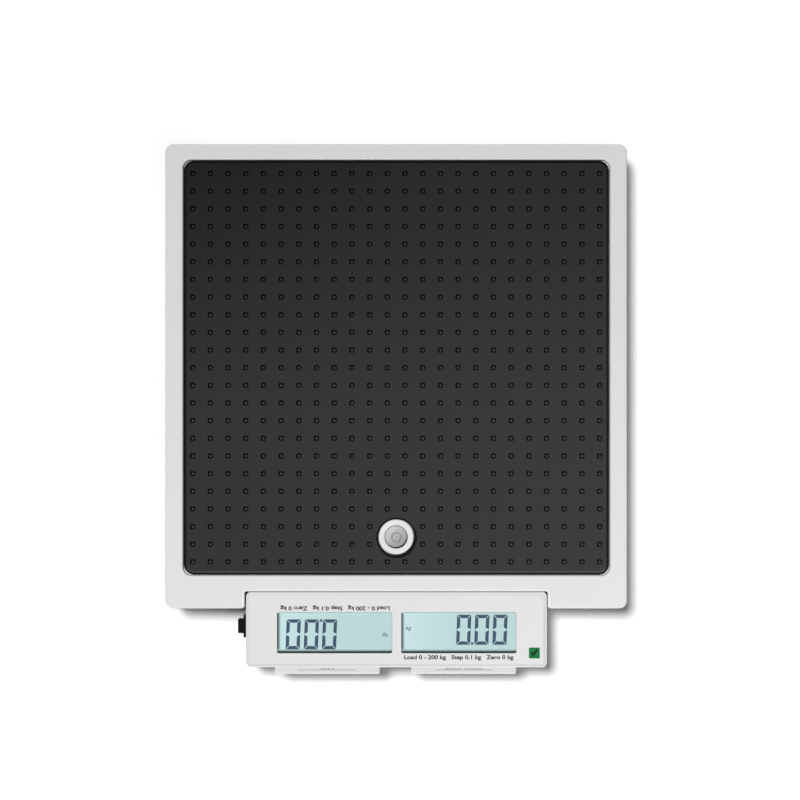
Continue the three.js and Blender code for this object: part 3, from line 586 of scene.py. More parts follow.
# ---- Platform ----
def body_corners():
    notch_half = COVER_HIGH.x + NOTCH_SIDE_GAP
    notch_back = COVER_HIGH.y + NOTCH_BACK_GAP
    x, front, back = SHELL_HIGH.x, SHELL_LOW.y, SHELL_HIGH.y
    return [
        (-x, front, BODY_RADIUS),
        (-notch_half, front, NOTCH_MOUTH_RADIUS),
        (-notch_half, notch_back, NOTCH_CORNER_RADIUS),
        (notch_half, notch_back, NOTCH_CORNER_RADIUS),
        (notch_half, front, NOTCH_MOUTH_RADIUS),
        (x, front, BODY_RADIUS),
        (x, back, BODY_RADIUS),
        (-x, back, BODY_RADIUS),
    ]


def mat_corners(gap=0.0):
    """The mat's outline, or that of the recess a gap away from it."""
    low = MAT_LOW.xy - Vector((gap, gap + MAT_EXTRA_FRONT))
    high = MAT_HIGH.xy + Vector((gap + MAT_EXTRA_RIGHT, gap))
    return rectangle(*low, *high, MAT_RADIUS)


CABLE_HOLE_Z = (BASE_LOW.z + COVER_LOW.z) / 2 + 1.3
CABLE_HOLE_RADIUS = 3.2


def cable_hole(start, end):
    return rod("y", start, end, (0, 0, CABLE_HOLE_Z), CABLE_HOLE_RADIUS, 24)


def top_shell():
    """The moulded top: rounded outside, a sloped lip round the mat's recess, and hollow below."""
    top = SHELL_HIGH.z
    floor = MAT_LOW.z - MAT_LIFT
    pan_bottom = floor - PAN_THICKNESS
    ceiling = top - SHELL_WALL
    lip = [(1.30, 0.0), (1.12, 0.02), (0.95, 0.10), (0.50, 0.60), (0.36, 0.95), (0.04, 2.2)]
    lip.append((0.0, top - floor))
    bm = bmesh.new()
    bottom = SHELL_LOW.z
    skin = [(SHELL_WALL, ceiling), (SHELL_WALL, bottom)]
    skin += bottom_edge(bottom, 0.4) + top_edge(top, EDGE_FILLET, steps=6)
    outer = stack(bm, body_corners(), skin)
    recess = mat_corners(MAT_GAP)
    opening = stack(bm, recess, [(-out, top - drop) for out, drop in lip])
    pan = stack(bm, recess, [(-SHELL_WALL, ceiling), (-SHELL_WALL, pan_bottom)])
    hole = circle(LEVEL.x, LEVEL.y, LEVEL_BORE_RADIUS)
    bore = loft(bm, [at(hole, pan_bottom), at(hole, floor)])
    fill(bm, outer[-1], opening[0])
    fill(bm, opening[-1], bore[-1])
    fill(bm, pan[-1], bore[0])
    fill(bm, outer[0], pan[0])
    shell = solid(bm)
    bosses, bores = [], [cable_hole(SHELL_LOW.y, MAT_LOW.y)]
    for corner in FEET:
        x, y = node_middle(f"shell_screw_{corner}").xy
        screw_top = node_box(f"shell_screw_{corner}")[1].z
        bosses.append(rod("z", TRAY_HIGH.z + SEAT, ceiling + 1, (x, y, 0), SCREW_BOSS_RADIUS, 32))
        bores.append(rod("z", 0, screw_top + 1, (x, y, 0), SCREW_BORE_RADIUS, 24))
    shell = cut(join(shell, *bosses), *bores)
    shell = stand_in("top_shell", shell, SHELL)
    notch_half = COVER_HIGH.x + NOTCH_SIDE_GAP + EDGE_FILLET
    notch_back = COVER_HIGH.y + NOTCH_BACK_GAP + EDGE_FILLET

    # painted highlight: a paler colour on the top fillets round the notch and along the front
    def highlight_faces(centre, normal):
        in_notch = abs(centre.x) < notch_half + 0.1 and centre.y < notch_back + 0.1
        return centre.z > top - EDGE_FILLET and 0.05 < normal.z < 0.995 and (in_notch or normal.y < -0.3)

    repaint(shell, SHELL_EDGE_HIGHLIGHT, highlight_faces)


DIMPLE_COLUMNS = 24
DIMPLE_ROWS = 23
DIMPLE_SIDE_MARGIN = 4.8
DIMPLE_FRONT_MARGIN = 7.1
DIMPLE_BACK_MARGIN = 7.6
DIMPLE_HALF = 1.9
DIMPLE_DEPTH = 0.6
STUD_SHIFT = 0.12
COLLAR_SHIFT = Vector((0.32, -0.6, 0))
LEVEL_HOLE_RADIUS = (COLLAR_HIGH.x - COLLAR_LOW.x) / 2 + 0.08


def dimple_places():
    """The grid of dimples, without those that the level takes the place of."""
    first_x, last_x = MAT_LOW.x + DIMPLE_SIDE_MARGIN, MAT_HIGH.x - DIMPLE_SIDE_MARGIN
    first_y, last_y = MAT_LOW.y + DIMPLE_FRONT_MARGIN, MAT_HIGH.y - DIMPLE_BACK_MARGIN
    for row in range(DIMPLE_ROWS):
        for column in range(DIMPLE_COLUMNS):
            x = first_x + (last_x - first_x) * column / (DIMPLE_COLUMNS - 1)
            y = first_y + (last_y - first_y) * row / (DIMPLE_ROWS - 1)
            if math.dist((x, y), LEVEL.xy) > LEVEL_HOLE_RADIUS + DIMPLE_HALF:
                yield x, y


def platform_mat():
    """The rubber mat, with a raised stud in each of its square dimples."""
    top, bottom = MAT_HIGH.z, MAT_LOW.z
    bm = bmesh.new()
    skirt = [(-MAT_SKIRT, bottom), (-MAT_SKIRT, bottom + 0.4), (0.0, bottom + 0.6)]
    edge = skirt + top_edge(top, 1.0, steps=5)
    outer = stack(bm, mat_corners(), edge)
    x, y, radius = LEVEL.x + COLLAR_SHIFT.x, LEVEL.y + COLLAR_SHIFT.y, LEVEL_HOLE_RADIUS
    hole_levels = [(radius, bottom)] + [(radius + m, z) for m, z in top_edge(top, 0.25)]
    hole = loft(bm, [at(circle(x, y, r), z) for r, z in hole_levels])
    groove = [(1.0, 0.0), (0.95, 0.2), (0.86, 1.0), (0.60, 1.0), (0.52, 0.8), (0.46, 0.25), (0.36, 0.15)]
    rims = []
    for x, y in dimple_places():
        rings = []
        for share, depth in groove:
            half = DIMPLE_HALF * share
            shift = STUD_SHIFT * (share < 0.8)
            dimple = rectangle(x - half, y - half, x + half, y + half, 0.6 * half)
            ring = rounded([(a + shift, b - shift, r) for a, b, r in dimple], 0, 3)
            rings.append(at(ring, top - depth * DIMPLE_DEPTH))
        # the groove faces get painted shade
        rows = loft(bm, rings, material=1)
        # the stud tops get a painted highlight
        bm.faces.new(rows[-1]).material_index = 2
        rims.append(rows[0])
    fill(bm, outer[-1], hole[-1], *rims)
    fill(bm, outer[0], hole[0])
    rubber = [RUBBER, RUBBER_GROOVE_SHADE, RUBBER_STUD_HIGHLIGHT]
    mat = stand_in("platform_mat", solid(bm), rubber)
    front = MAT_LOW.y - MAT_EXTRA_FRONT

    # painted highlight on the rounded front edge of the mat
    def lit_edge(centre, normal):
        return centre.y < front + MAT_RADIUS and centre.z > top - 1 and normal.y < -0.25 and normal.z > 0.3

    # painted shade: the skirt and the lower sides of the mat, down in the gap, are painted black
    def gap_shade_faces(centre, normal):
        return centre.z < top - 0.8 and normal.z > -0.5

    repaint(mat, RUBBER_EDGE_HIGHLIGHT, lit_edge)
    repaint(mat, BLACK, gap_shade_faces)


# ---- Spirit level ----
LEVEL_DISH = 0.9
LEVEL_PLUG_RADIUS = 10.4
BUBBLE_RADIUS = 3.4
RING_RADIUS = 3.25
# painted shadow: the black crescent by the vial lies this way, to the lower right
SHADOW_OFFSET = Vector((0.37, -0.87, 0))


def level_part(profile, moved_past=None):
    """A turned part of the level; what lies past a radius is set off centre, as the collar is."""
    bm = bmesh.new()
    turned(bm, profile, 96)
    if moved_past:
        outside = [vertex for vertex in bm.verts if vertex.co.xy.length > moved_past]
        bmesh.ops.translate(bm, vec=COLLAR_SHIFT, verts=outside)
    bmesh.ops.translate(bm, vec=Vector((LEVEL.x, LEVEL.y, 0)), verts=bm.verts)
    return solid(bm)


def level_collar():
    inner = (HOUSING_HIGH.x - HOUSING_LOW.x) / 2 + SEAT
    outer = (COLLAR_HIGH.x - COLLAR_LOW.x) / 2
    top = COLLAR_HIGH.z
    profile = [(inner, COLLAR_LOW.z), (outer, COLLAR_LOW.z), (outer, top - 0.5), (outer - 0.15, top - 0.15)]
    profile += [(outer - 0.5, top), (inner + 0.15, top), (inner, top - 0.2)]
    collar = level_part(profile, inner + 0.2)
    stand_in("level_collar", collar, BLACK, sharp_degrees=50)


def level_housing():
    """The white housing: a rounded rim that falls to a dish with the vial in its middle."""
    outer = (HOUSING_HIGH.x - HOUSING_LOW.x) / 2
    bore = (VIAL_HIGH.x - VIAL_LOW.x) / 2 + 0.06
    rim = HOUSING_HIGH.z
    dish = rim - LEVEL_DISH
    seat = VIAL_LOW.z - 0.2
    ledge = COLLAR_LOW.z + 0.1
    profile = [(0, HOUSING_LOW.z), (LEVEL_PLUG_RADIUS, HOUSING_LOW.z), (LEVEL_PLUG_RADIUS, ledge)]
    profile += [(outer, ledge), (outer, rim - 1.4), (outer - 0.12, rim - 0.8), (outer - 0.45, rim - 0.35)]
    profile += [(outer - 0.9, rim - 0.1), (outer - 1.4, rim), (outer - 1.8, rim - 0.06)]
    profile += [(bore + 0.6, dish + 0.12), (bore + 0.2, dish - 0.05), (bore, dish - 0.4)]
    profile += [(bore, seat), (0, seat)]
    stand_in("level_housing", level_part(profile), WHITE, sharp_degrees=50)


def level_vial():
    """The clear dome over the liquid."""
    vial = (VIAL_HIGH.x - VIAL_LOW.x) / 2
    top = VIAL_HIGH.z
    profile = [(vial - 1, VIAL_LOW.z), (vial, VIAL_LOW.z), (vial, top - 1.3), (vial - 0.15, top - 0.8)]
    profile += [(vial - 0.5, top - 0.5), (vial - 1.3, top - 0.28), (vial / 2, top - 0.08), (0.6, top)]
    profile += [(0.6, top - 1.8), (vial / 2, top - 1.9), (vial - 1, top - 2.4)]
    stand_in("level_vial", level_part(profile), DOME, sharp_degrees=50)


def level_fluid():
    """The liquid, with the hollow of its bubble."""
    outer = (FLUID_HIGH.x - FLUID_LOW.x) / 2
    rim = (VIAL_HIGH.x - VIAL_LOW.x) / 2 - 0.2
    top = FLUID_HIGH.z
    bubble = BUBBLE_RADIUS
    profile = [(0, FLUID_LOW.z), (outer, FLUID_LOW.z), (outer, top - 0.6), (rim, top - 0.5)]
    profile += [(rim - 0.1, top - 0.1), (rim - 0.35, top), (bubble, top), (bubble - 0.15, top - 0.25)]
    profile += [(bubble - 0.6, top - 0.6), (bubble / 2, top - 0.95), (0, top - 1.05)]
    stand_in("level_fluid", level_part(profile), LIQUID, sharp_degrees=50)


def level_marks():
    """A black crescent, a painted shadow by the vial's lower right edge, and the ring that the bubble is
    read against.
    """
    radius = (VIAL_HIGH.x - VIAL_LOW.x) / 2 + 0.05
    top = VIAL_HIGH.z
    centre = Vector((LEVEL.x, LEVEL.y, 0))
    # painted shadow: a black crescent beside the vial's lower right edge
    shadow_crescent = rod("z", top - 1.1, top - 0.24, centre, radius, 96)
    inside = rod("z", top - 2, top + 1, centre - SHADOW_OFFSET, radius, 96)
    piece("level_painted_shadow", cut(shadow_crescent, inside), BLACK)
    inner, outer = RING_RADIUS - 0.16, RING_RADIUS + 0.16
    ring = [(inner, top - 0.06), (outer, top - 0.06), (outer, top + 0.01), (inner, top + 0.01)]
    piece("level_ring_mark", level_part(ring), GREY_INK, sharp_degrees=50)


# ---- Console ----
def console_corners():
    front, right = COVER_LOW.y - CONSOLE_EXTRA_FRONT, COVER_HIGH.x + CONSOLE_EXTRA_RIGHT
    return rectangle(COVER_LOW.x, front, right, COVER_HIGH.y, CONSOLE_RADIUS)


def window_edges(side):
    """The left, front, right and back edge of a display's opening."""
    low, high = node_box(f"display_window_{side}")
    margin = Vector((PANE_MARGIN, PANE_MARGIN))
    return *(low.xy + margin + WINDOW_SHIFT), *(high.xy - margin + WINDOW_SHIFT)


def key_face(side):
    """The visible box of a foot key, without its pins."""
    low, high = node_box(f"key_{side}")
    low.x += KEY_PIN_REACH - KEY_EXTRA_LEFT
    high.x -= KEY_PIN_REACH + KEY_SHORT_RIGHT
    return low, high


def key_opening(side):
    low, high = key_face(side)
    y0, y1 = COVER_LOW.y - 1, COVER_LOW.y + CONSOLE_WALL + 0.2
    return block(low.x - KEY_GAP, high.x + KEY_GAP, y0, y1, low.z - KEY_GAP, high.z + KEY_GAP)


def console_cover():
    """The console's top moulding, with a sloped border, two display openings and slots for the keys."""
    top, bottom = COVER_HIGH.z, COVER_LOW.z
    ceiling = top - CONSOLE_WALL
    slope_foot = top - CHAMFER_DROP
    bm = bmesh.new()
    levels = [(CONSOLE_WALL, ceiling), (CONSOLE_WALL, bottom), (0.25, bottom), (0, bottom + 0.25)]
    levels += [(0.0, slope_foot - 1.0), (0.15, slope_foot - 0.5), (0.75, slope_foot + 0.25)]
    levels += [(CHAMFER_WIDTH - 0.28, top - 0.13), (CHAMFER_WIDTH - 0.1, top - 0.035)]
    levels.append((CHAMFER_WIDTH + 0.15, top))
    outer = stack(bm, console_corners(), levels)
    rims, pockets = [], []
    for side in SIDES:
        corners = rectangle(*window_edges(side), 1.0)
        wall = [(-0.3, top), (-0.1, top - 0.09), (0, top - 0.3), (0, top - PANE_RECESS)]
        wall += [(-PANE_MARGIN - SEAT, top - PANE_RECESS), (-PANE_MARGIN - SEAT, ceiling)]
        rows = stack(bm, corners, wall, steps=5)
        rims.append(rows[0])
        pockets.append(rows[-1])
    fill(bm, outer[-1], *rims)
    fill(bm, outer[0], *pockets)
    cover = solid(bm)
    cutters = [key_opening(side) for side in SIDES]
    y0, y1 = INLET_Y - INLET_HALF_WIDTH - 0.4, INLET_Y + INLET_HALF_WIDTH + 0.4
    z0, z1 = INLET_Z - INLET_HALF_HEIGHT - 0.4, INLET_Z + INLET_HALF_HEIGHT + 0.4
    cutters.append(block(COVER_LOW.x - 1, COVER_LOW.x + CONSOLE_WALL + 1, y0, y1, z0, z1))
    lugs, bores = [], []
    for side in SIDES:
        low, high = key_face(side)
        pivot = Vector(JOINTS[f"key_{side}_press"]["pos_m"]) / MM
        lug_front = COVER_LOW.y + CONSOLE_WALL - 0.5
        for x in (low.x - 2.0, high.x + 2.0):
            lugs.append(block(x - 1.5, x + 1.5, lug_front, pivot.y + 2.3, pivot.z - 2.5, ceiling + 0.5))
            bores.append(rod("x", x - 3, x + 3, (0, pivot.y, pivot.z), 1.5, 24))
    cover = cut(join(cut(cover, *cutters), *lugs), *bores)
    cover = stand_in("console_cover", cover, CONSOLE)
    rim_low, rim_high = slope_foot - 1.1, slope_foot + 0.3
    window_front = window_edges("right")[1]

    # painted highlight: near-white on the border's lower rounding where it faces front or right, and on the
    # front lip of the window openings
    def bright_rim(centre, normal):
        on_rim = rim_low < centre.z < rim_high and normal.z > 0.02 and (normal.y < -0.2 or normal.x > 0.2)
        on_window = abs(centre.y - window_front) < 0.4 and top - 0.35 < centre.z and normal.y > 0.2
        return on_rim or on_window

    repaint(cover, CONSOLE_EDGE_HIGHLIGHT, bright_rim)


def console_base():
    """The console's lower moulding: a shallow tub with a rib behind each key."""
    top, bottom = COVER_LOW.z - SEAT, BASE_LOW.z
    floor = bottom + CONSOLE_WALL
    bm = bmesh.new()
    levels = [(CONSOLE_WALL, floor), (CONSOLE_WALL, top), (0.25, top), (0, top - 0.25)]
    levels += list(reversed(bottom_edge(bottom, 1.2, steps=4)))
    stack(bm, console_corners(), levels, cap_first=True, cap_last=True)
    tub = cut(solid(bm), *[key_opening(side) for side in SIDES])
    for side in SIDES:
        x = node_middle(f"key_switch_{side}").x
        back = node_box(f"key_switch_{side}")[1].y + SEAT
        tub = join(tub, block(x - 22, x + 22, back, back + 2, floor - 0.5, BASE_HIGH.z, 0.3))
    tub = cut(tub, cable_hole(COVER_HIGH.y - 4, COVER_HIGH.y + 1))
    stand_in("console_base", tub, CONSOLE)


def key_outside(low, high, back):
    """The key's outside: a flat front, a toe that turns up into a slope, and a rounded crown."""
    slope_foot = high.z - KEY_SLOPE
    proud = COVER_LOW.y - low.y
    face = [
        (2.6, low.z, 0.5),
        (1.7, low.z + 0.25, 0.25),
        (0.8, low.z + 1.0, 0.0),
        (0.0, low.z + 3.0, 0.0),
        (0.0, slope_foot - 2.4, 0.0),
        (0.15, slope_foot - 1.6, 0.0),
        (0.55, slope_foot - 0.75, 0.0),
        (KEY_TOE, slope_foot, 0.0),
        (proud - 1.2, high.z - 0.75, 0.0),
        (proud - 0.8, high.z - 0.4, 0.1),
        (proud - 0.4, high.z - 0.15, 0.32),
        (proud, high.z, 0.7),
    ]
    bm = bmesh.new()
    rings = []
    for set_back, z, end_in in face:
        corners = rectangle(low.x + end_in, low.y + set_back, high.x - end_in, back, 0)
        corners = [(x, y, 1.5 if y < back else 0.3) for x, y, _ in corners]
        rings.append(at(rounded(corners, 0, 6), z))
    loft(bm, rings, cap_first=True, cap_last=True)
    return solid(bm)


def key_hollow(low, high, back):
    """What is cut out of the key from behind: a box below its slope and a wedge under the slope."""
    x0, x1 = low.x + KEY_SKIN, high.x - KEY_SKIN
    front = low.y + KEY_SKIN
    slope_foot = high.z - KEY_SLOPE
    inside = block(x0, x1, front, back + 1, low.z + KEY_SKIN, slope_foot - 1.2)
    profile = [
        (back + 1, slope_foot - 1.3),
        (front, slope_foot - 1.3),
        (COVER_LOW.y + 0.6, high.z - KEY_SKIN),
        (back + 1, high.z - KEY_SKIN),
    ]
    roof = bmesh.new()
    loft(roof, [[Vector((x, y, z)) for y, z in profile] for x in (x0, x1)], cap_first=True, cap_last=True)
    return inside, solid(roof)


def key_plunger(side, low, high, pivot):
    """The peg behind the key, which stops short of the switch at full press."""
    switch_front = node_box(f"key_switch_{side}")[0].y
    z = node_middle(f"key_switch_{side}").z
    travel = (pivot.z - z) * math.tan(math.radians(JOINTS[f"key_{side}_press"]["range_deg"][1]))
    x = (low.x + high.x) / 2
    return rod("y", low.y + KEY_SKIN - 0.6, switch_front - travel - SEAT, (x, 0, z), 2.2, 24, 0.3)


def foot_key(side):
    """A foot key: a hollow bar with a sloped top, pins at its ends and a plunger behind."""
    low, high = key_face(side)
    name = f"key_{side}"
    pivot = Vector(JOINTS[f"{name}_press"]["pos_m"]) / MM
    back = COVER_LOW.y + CONSOLE_WALL - 0.1
    key = cut(key_outside(low, high, back), *key_hollow(low, high, back))
    parts = [key_plunger(side, low, high, pivot)]
    right = high.x - KEY_SKIN
    for end_x, pin_start in ((low.x, low.x - KEY_PIN_REACH), (right, right)):
        arm = block(end_x, end_x + KEY_SKIN, back - 1, pivot.y + 1.6, pivot.z - 1.6, pivot.z + 1.6, 0.3)
        pin_end = pin_start + KEY_SKIN + KEY_PIN_REACH
        pin = rod("x", pin_start, pin_end, (0, pivot.y, pivot.z), 1.2, 24, 0.2)
        parts += [arm, pin]
    key = stand_in(name, join(key, *parts), KEY_PLASTIC, name)
    slope_foot = high.z - KEY_SLOPE

    # painted highlight: near-white on the toe below the key's slope, where it faces front
    def bright_toe(centre, normal):
        on_toe = slope_foot - 2.5 < centre.z < slope_foot + 0.02 and centre.y < low.y + KEY_TOE
        return on_toe and normal.y < -0.2

    repaint(key, CONSOLE_EDGE_HIGHLIGHT, bright_toe)


SPRING_TURNS = 7
SPRING_WIRE = 0.35  # radius
SPRING_STEPS = 24  # sections in a turn


def key_spring(side):
    """The coil spring behind a key, at its rest length."""
    low, high = node_box(f"key_spring_{side}")
    middle = (low + high) / 2
    coil = (high.x - low.x) / 2 - SPRING_WIRE
    length = high.y - low.y - 2 * SPRING_WIRE
    steps = SPRING_TURNS * SPRING_STEPS
    wire = circle(coil, 0, SPRING_WIRE, 10)
    bm = bmesh.new()
    rings = []
    for step in range(steps + 1):
        share = step / steps
        turn = Matrix.Rotation(2 * math.pi * SPRING_TURNS * share, 4, "Y")
        along = Vector((middle.x, low.y + SPRING_WIRE + length * share, middle.z))
        rings.append([turn @ point.to_3d() + along for point in wire])
    loft(bm, rings, cap_first=True, cap_last=True)
    spring = stand_in(f"key_spring_{side}", solid(bm), SPRING_STEEL)
    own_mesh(spring)


def flat_text(name, words, size, width, material, place, turn=0, tilt=0, bold=0, body="base", shear=0):
    """A line of plain lettering, scaled to a width, lying at a place; tilt leans it back about X."""
    curve = bpy.data.curves.new(name, "FONT")
    curve.body = words
    curve.size = size
    curve.offset = bold
    curve.extrude = 0.012
    curve.shear = shear
    curve.align_x = "CENTER"
    curve.align_y = "CENTER"
    curve.resolution_u = 4
    text = bpy.data.objects.new(name, curve)
    bpy.context.scene.collection.objects.link(text)
    bpy.context.view_layer.update()
    stretch = width / text.dimensions.x
    evaluated = text.evaluated_get(bpy.context.evaluated_depsgraph_get())
    mesh = bpy.data.meshes.new_from_object(evaluated)
    bpy.data.objects.remove(text)
    move = Matrix.Translation(place) @ Matrix.Rotation(math.radians(tilt), 4, "X")
    move = move @ Matrix.Rotation(math.radians(turn), 4, "Z") @ Matrix.Diagonal((stretch, 1, 1, 1))
    mesh.transform(move)
    scratch = bpy.data.objects.new("scratch", mesh)
    bpy.context.scene.collection.objects.link(scratch)
    return piece(name, scratch, material, body)


def key_marks():
    """A thin line and a short word on the sloped top of each key."""
    for side, word, width in (("left", "ON", 9), ("right", "ZERO  HOLD", 26)):
        low, high = key_face(side)
        x = (low.x + high.x) / 2
        foot = Vector((0, low.y + KEY_TOE, high.z - KEY_SLOPE))
        head = Vector((0, COVER_LOW.y - 1.2, high.z - 0.75))
        slope = math.degrees(math.atan2(head.z - foot.z, head.y - foot.y))
        outward = Vector((0, -math.sin(math.radians(slope)), math.cos(math.radians(slope))))
        line_at = foot.lerp(head, 0.60) + outward * 0.02 + Vector((x, 0, 0))
        word_at = foot.lerp(head, 0.84) + outward * 0.03 + Vector((x, 0, 0))
        bar = block(-20, 20, -0.22, 0.22, -0.01, 0.012)
        bar.data.transform(Matrix.Translation(line_at) @ Matrix.Rotation(math.radians(slope), 4, "X"))
        piece(f"key_line_{side}", bar, GREY_INK, f"key_{side}")
        body = f"key_{side}"
        flat_text(f"key_word_{side}", word, 2.4, width, GREY_INK, word_at, tilt=slope, body=body)


# ---- Displays ----
DIGIT_WIDTH = 9.9
DIGIT_HEIGHT = 20.9
DIGIT_PITCH = 12.65
DIGIT_INSETS = {"left": (6.5, 5.0), "right": (6.75, 5.8)}
UNIT_PLACES = {"left": (-35.4, 2.0), "right": (-35.3, 3.2)}
STROKE = 2.35
SEGMENT_GAP = 0.3
SLANT = math.tan(math.radians(2.2))


def zero_segments():
    """The six lit segments of a 0, each an outline with mitred ends."""
    w, h, t, gap = DIGIT_WIDTH, DIGIT_HEIGHT, STROKE, SEGMENT_GAP
    top = [(gap, h), (t + gap, h - t), (w - t - gap, h - t), (w - gap, h)]
    upper = [(0, h - gap), (0, h / 2 + gap), (t, h / 2 + gap + t * 0.5), (t, h - t - gap)]
    segments = [top, [(x, h - y) for x, y in top]]
    for flip_x in (False, True):
        for flip_y in (False, True):
            segments.append([(w - x if flip_x else x, h - y if flip_y else y) for x, y in upper])
    return segments


def prism(bm, outline, z0, z1):
    area = sum(a[0] * b[1] - b[0] * a[1] for a, b in zip(outline, outline[1:] + outline[:1]))
    if area < 0:
        outline = outline[::-1]
    flat = [Vector(point) for point in outline]
    loft(bm, [at(flat, z0), at(flat, z1)], cap_first=True, cap_last=True)


def display_segments(side):
    """The reading 0.00 and its unit; the left display faces the other way."""
    x0, y0, x1, y1 = window_edges(side)
    middle = Vector(((x0 + x1) / 2, (y0 + y1) / 2, 0))
    turn = Matrix.Rotation(math.pi if side == "left" else 0.0, 4, "Z")
    z = node_box(f"lcd_{side}")[1].z + 0.03
    bm = bmesh.new()
    inset_x, inset_y = DIGIT_INSETS[side]
    first_x = (x1 - x0) / 2 - inset_x - DIGIT_WIDTH - 2 * DIGIT_PITCH
    first_y = (y0 - y1) / 2 + inset_y
    for digit in range(3):
        digit_x = first_x + digit * DIGIT_PITCH
        for outline in zero_segments():
            leaned = [(digit_x + x + y * SLANT, first_y + y) for x, y in outline]
            prism(bm, leaned, z, z + 0.05)
    point_x = first_x + DIGIT_WIDTH + 0.55
    point = [(0, 0), (1.6, 0), (1.65, 1.7), (0.05, 1.7)]
    prism(bm, [(point_x + x, first_y + y) for x, y in point], z, z + 0.05)
    bmesh.ops.transform(bm, matrix=Matrix.Translation(middle) @ turn, verts=bm.verts)
    piece(f"display_digits_{side}", solid(bm), SEGMENT)
    place = Matrix.Translation(middle) @ turn @ Vector((*UNIT_PLACES[side], z))
    faces = 180 if side == "left" else 0
    flat_text(f"display_unit_{side}", "kg", 3.6, 4.0, SEGMENT, place, faces, bold=0.03, shear=0.25)


def display_shade(side):
    """Painted shade below a window, dark along the display's left and front edges, and painted light along
    its back edge, paler than the display.
    """
    x0, y0, x1, y1 = window_edges(side)
    top = node_box(f"lcd_{side}")[1].z
    z0, z1 = top + 0.03, top + 0.3
    paint = Paint(f"display_painted_shade_{side}")
    black, slate = (0.003, 0.006, 0.006), (0.02, 0.045, 0.045)
    inward = paint.along("Y", y0 + 0.8, y0 + 2.6)
    fronts = [(0.0, black), (0.3, slate), (0.55, (0.20, 0.30, 0.30)), (1.0, (0.36, 0.50, 0.50))]
    front = paint.ramp(inward, fronts)
    sideways = paint.along("X", x0 + 0.3, x0 + 2.2)
    lefts = [(0.0, (0.05, 0.08, 0.08)), (0.35, (0.08, 0.13, 0.13)), (1.0, (0.38, 0.54, 0.54))]
    left = paint.ramp(sideways, lefts)
    on_side = paint.along("Y", y0 + 2.4, y0 + 3.2)
    on_back = paint.along("Y", y1 - 1.0, y1 - 0.7)
    # the back strip is painted light, the left and front strips painted shade
    paint.colour(paint.blend(on_back, paint.blend(on_side, front, left), (0.62, 0.86, 0.87)))
    paint.roughness(paint.spread(paint.noise(2, 2), 0.4, 0.55))
    paint.set(Specular_IOR_Level=0.1)
    margin = 1.2
    strips = [
        block(x0 - margin, x1 + margin, y0 - margin, y0 + 2.6, z0, z1, 0.1, 1),
        block(x0 - margin, x0 + 2.1, y0 + 1.6, y1 + margin, z0, z1 - 0.02, 0.1, 1),
        block(x0 + 1.6, x1 + margin, y1 - 0.75, y1 + margin, z0, z1 - 0.04, 0.1, 1),
    ]
    piece(f"display_painted_shade_{side}", join(*strips), paint.material)


def capacity_text():
    """A plain line of capacities beside each display, read from that display's side."""
    z = COVER_HIGH.z + INK_LIFT
    words = "Load 0 - 200 kg   Step 0.1 kg   Zero 0 kg"
    for side in SIDES:
        x0, y0, x1, y1 = window_edges(side)
        if side == "right":
            place, turn = Vector(((x0 + x1) / 2 - 0.2, y0 - 2.75, z)), 0
        else:
            place, turn = Vector(((x0 + x1) / 2 + 0.45, y1 + 2.95, z)), 180
        flat_text(f"capacity_text_{side}", words, 3.9, 76, INK, place, turn, bold=0.12)


# ---- Small parts of the console ----
def power_inlet():
    """The socket in the console's left side: a flange, a rounded block, a bore and its pin."""
    y, z = INLET_Y, INLET_Z
    side = COVER_LOW.x
    outer = INLET_LOW.x
    half = (INLET_HIGH.y - INLET_LOW.y) / 2
    y0, y1 = y - INLET_HALF_WIDTH, y + INLET_HALF_WIDTH
    z0, z1 = z - INLET_HALF_HEIGHT, z + INLET_HALF_HEIGHT
    flange = block(side - 1.9, side - SEAT, y - half, y + half, z - 6, z + 6, 0.5, 3)
    body = block(outer, side + 8, y0, y1, z0, z1, 1.0, 4)
    bore = rod("x", outer - 1, side + 4.5, (0, y, z), 2.8, 48)
    mouth = rod("x", outer - 1, outer + 0.5, (0, y, z), 3.2, 48)
    inlet = cut(join(flange, body), bore, mouth)
    stand_in("power_inlet", inlet, BLACK)
    pin = rod("x", outer + 1, side + 5, (0, y, z), 1.0, 32, 0.3)
    piece("power_inlet_pin", pin, STEEL)


def check_sticker():
    """A small green sticker with a plain tick."""
    bm = bmesh.new()
    levels = [(0.0, STICKER_LOW.z), (0.0, STICKER_HIGH.z - 0.04), (0.05, STICKER_HIGH.z)]
    outline = rectangle(*STICKER_LOW.xy, *STICKER_HIGH.xy, 0.4)
    levels = [(margin - STICKER_EXTRA, z) for margin, z in levels]
    stack(bm, outline, levels, cap_first=True, cap_last=True)
    stand_in("check_sticker", solid(bm), GREEN)
    middle = (STICKER_LOW + STICKER_HIGH) / 2
    tick = [(-2.5, 0.1), (-0.75, -2.4), (2.6, 1.7), (1.4, 2.6), (-0.8, -0.3), (-1.5, 0.9)]
    bm = bmesh.new()
    points = [(middle.x + x, middle.y + y) for x, y in tick]
    prism(bm, points, STICKER_HIGH.z + 0.005, STICKER_HIGH.z + 0.03)
    piece("check_sticker_tick", solid(bm), INK)


# ---- Feet ----
WHEEL_LOBES = 16
WHEEL_POINTS = 192
WHEEL_LOBE_DEPTH = 0.9


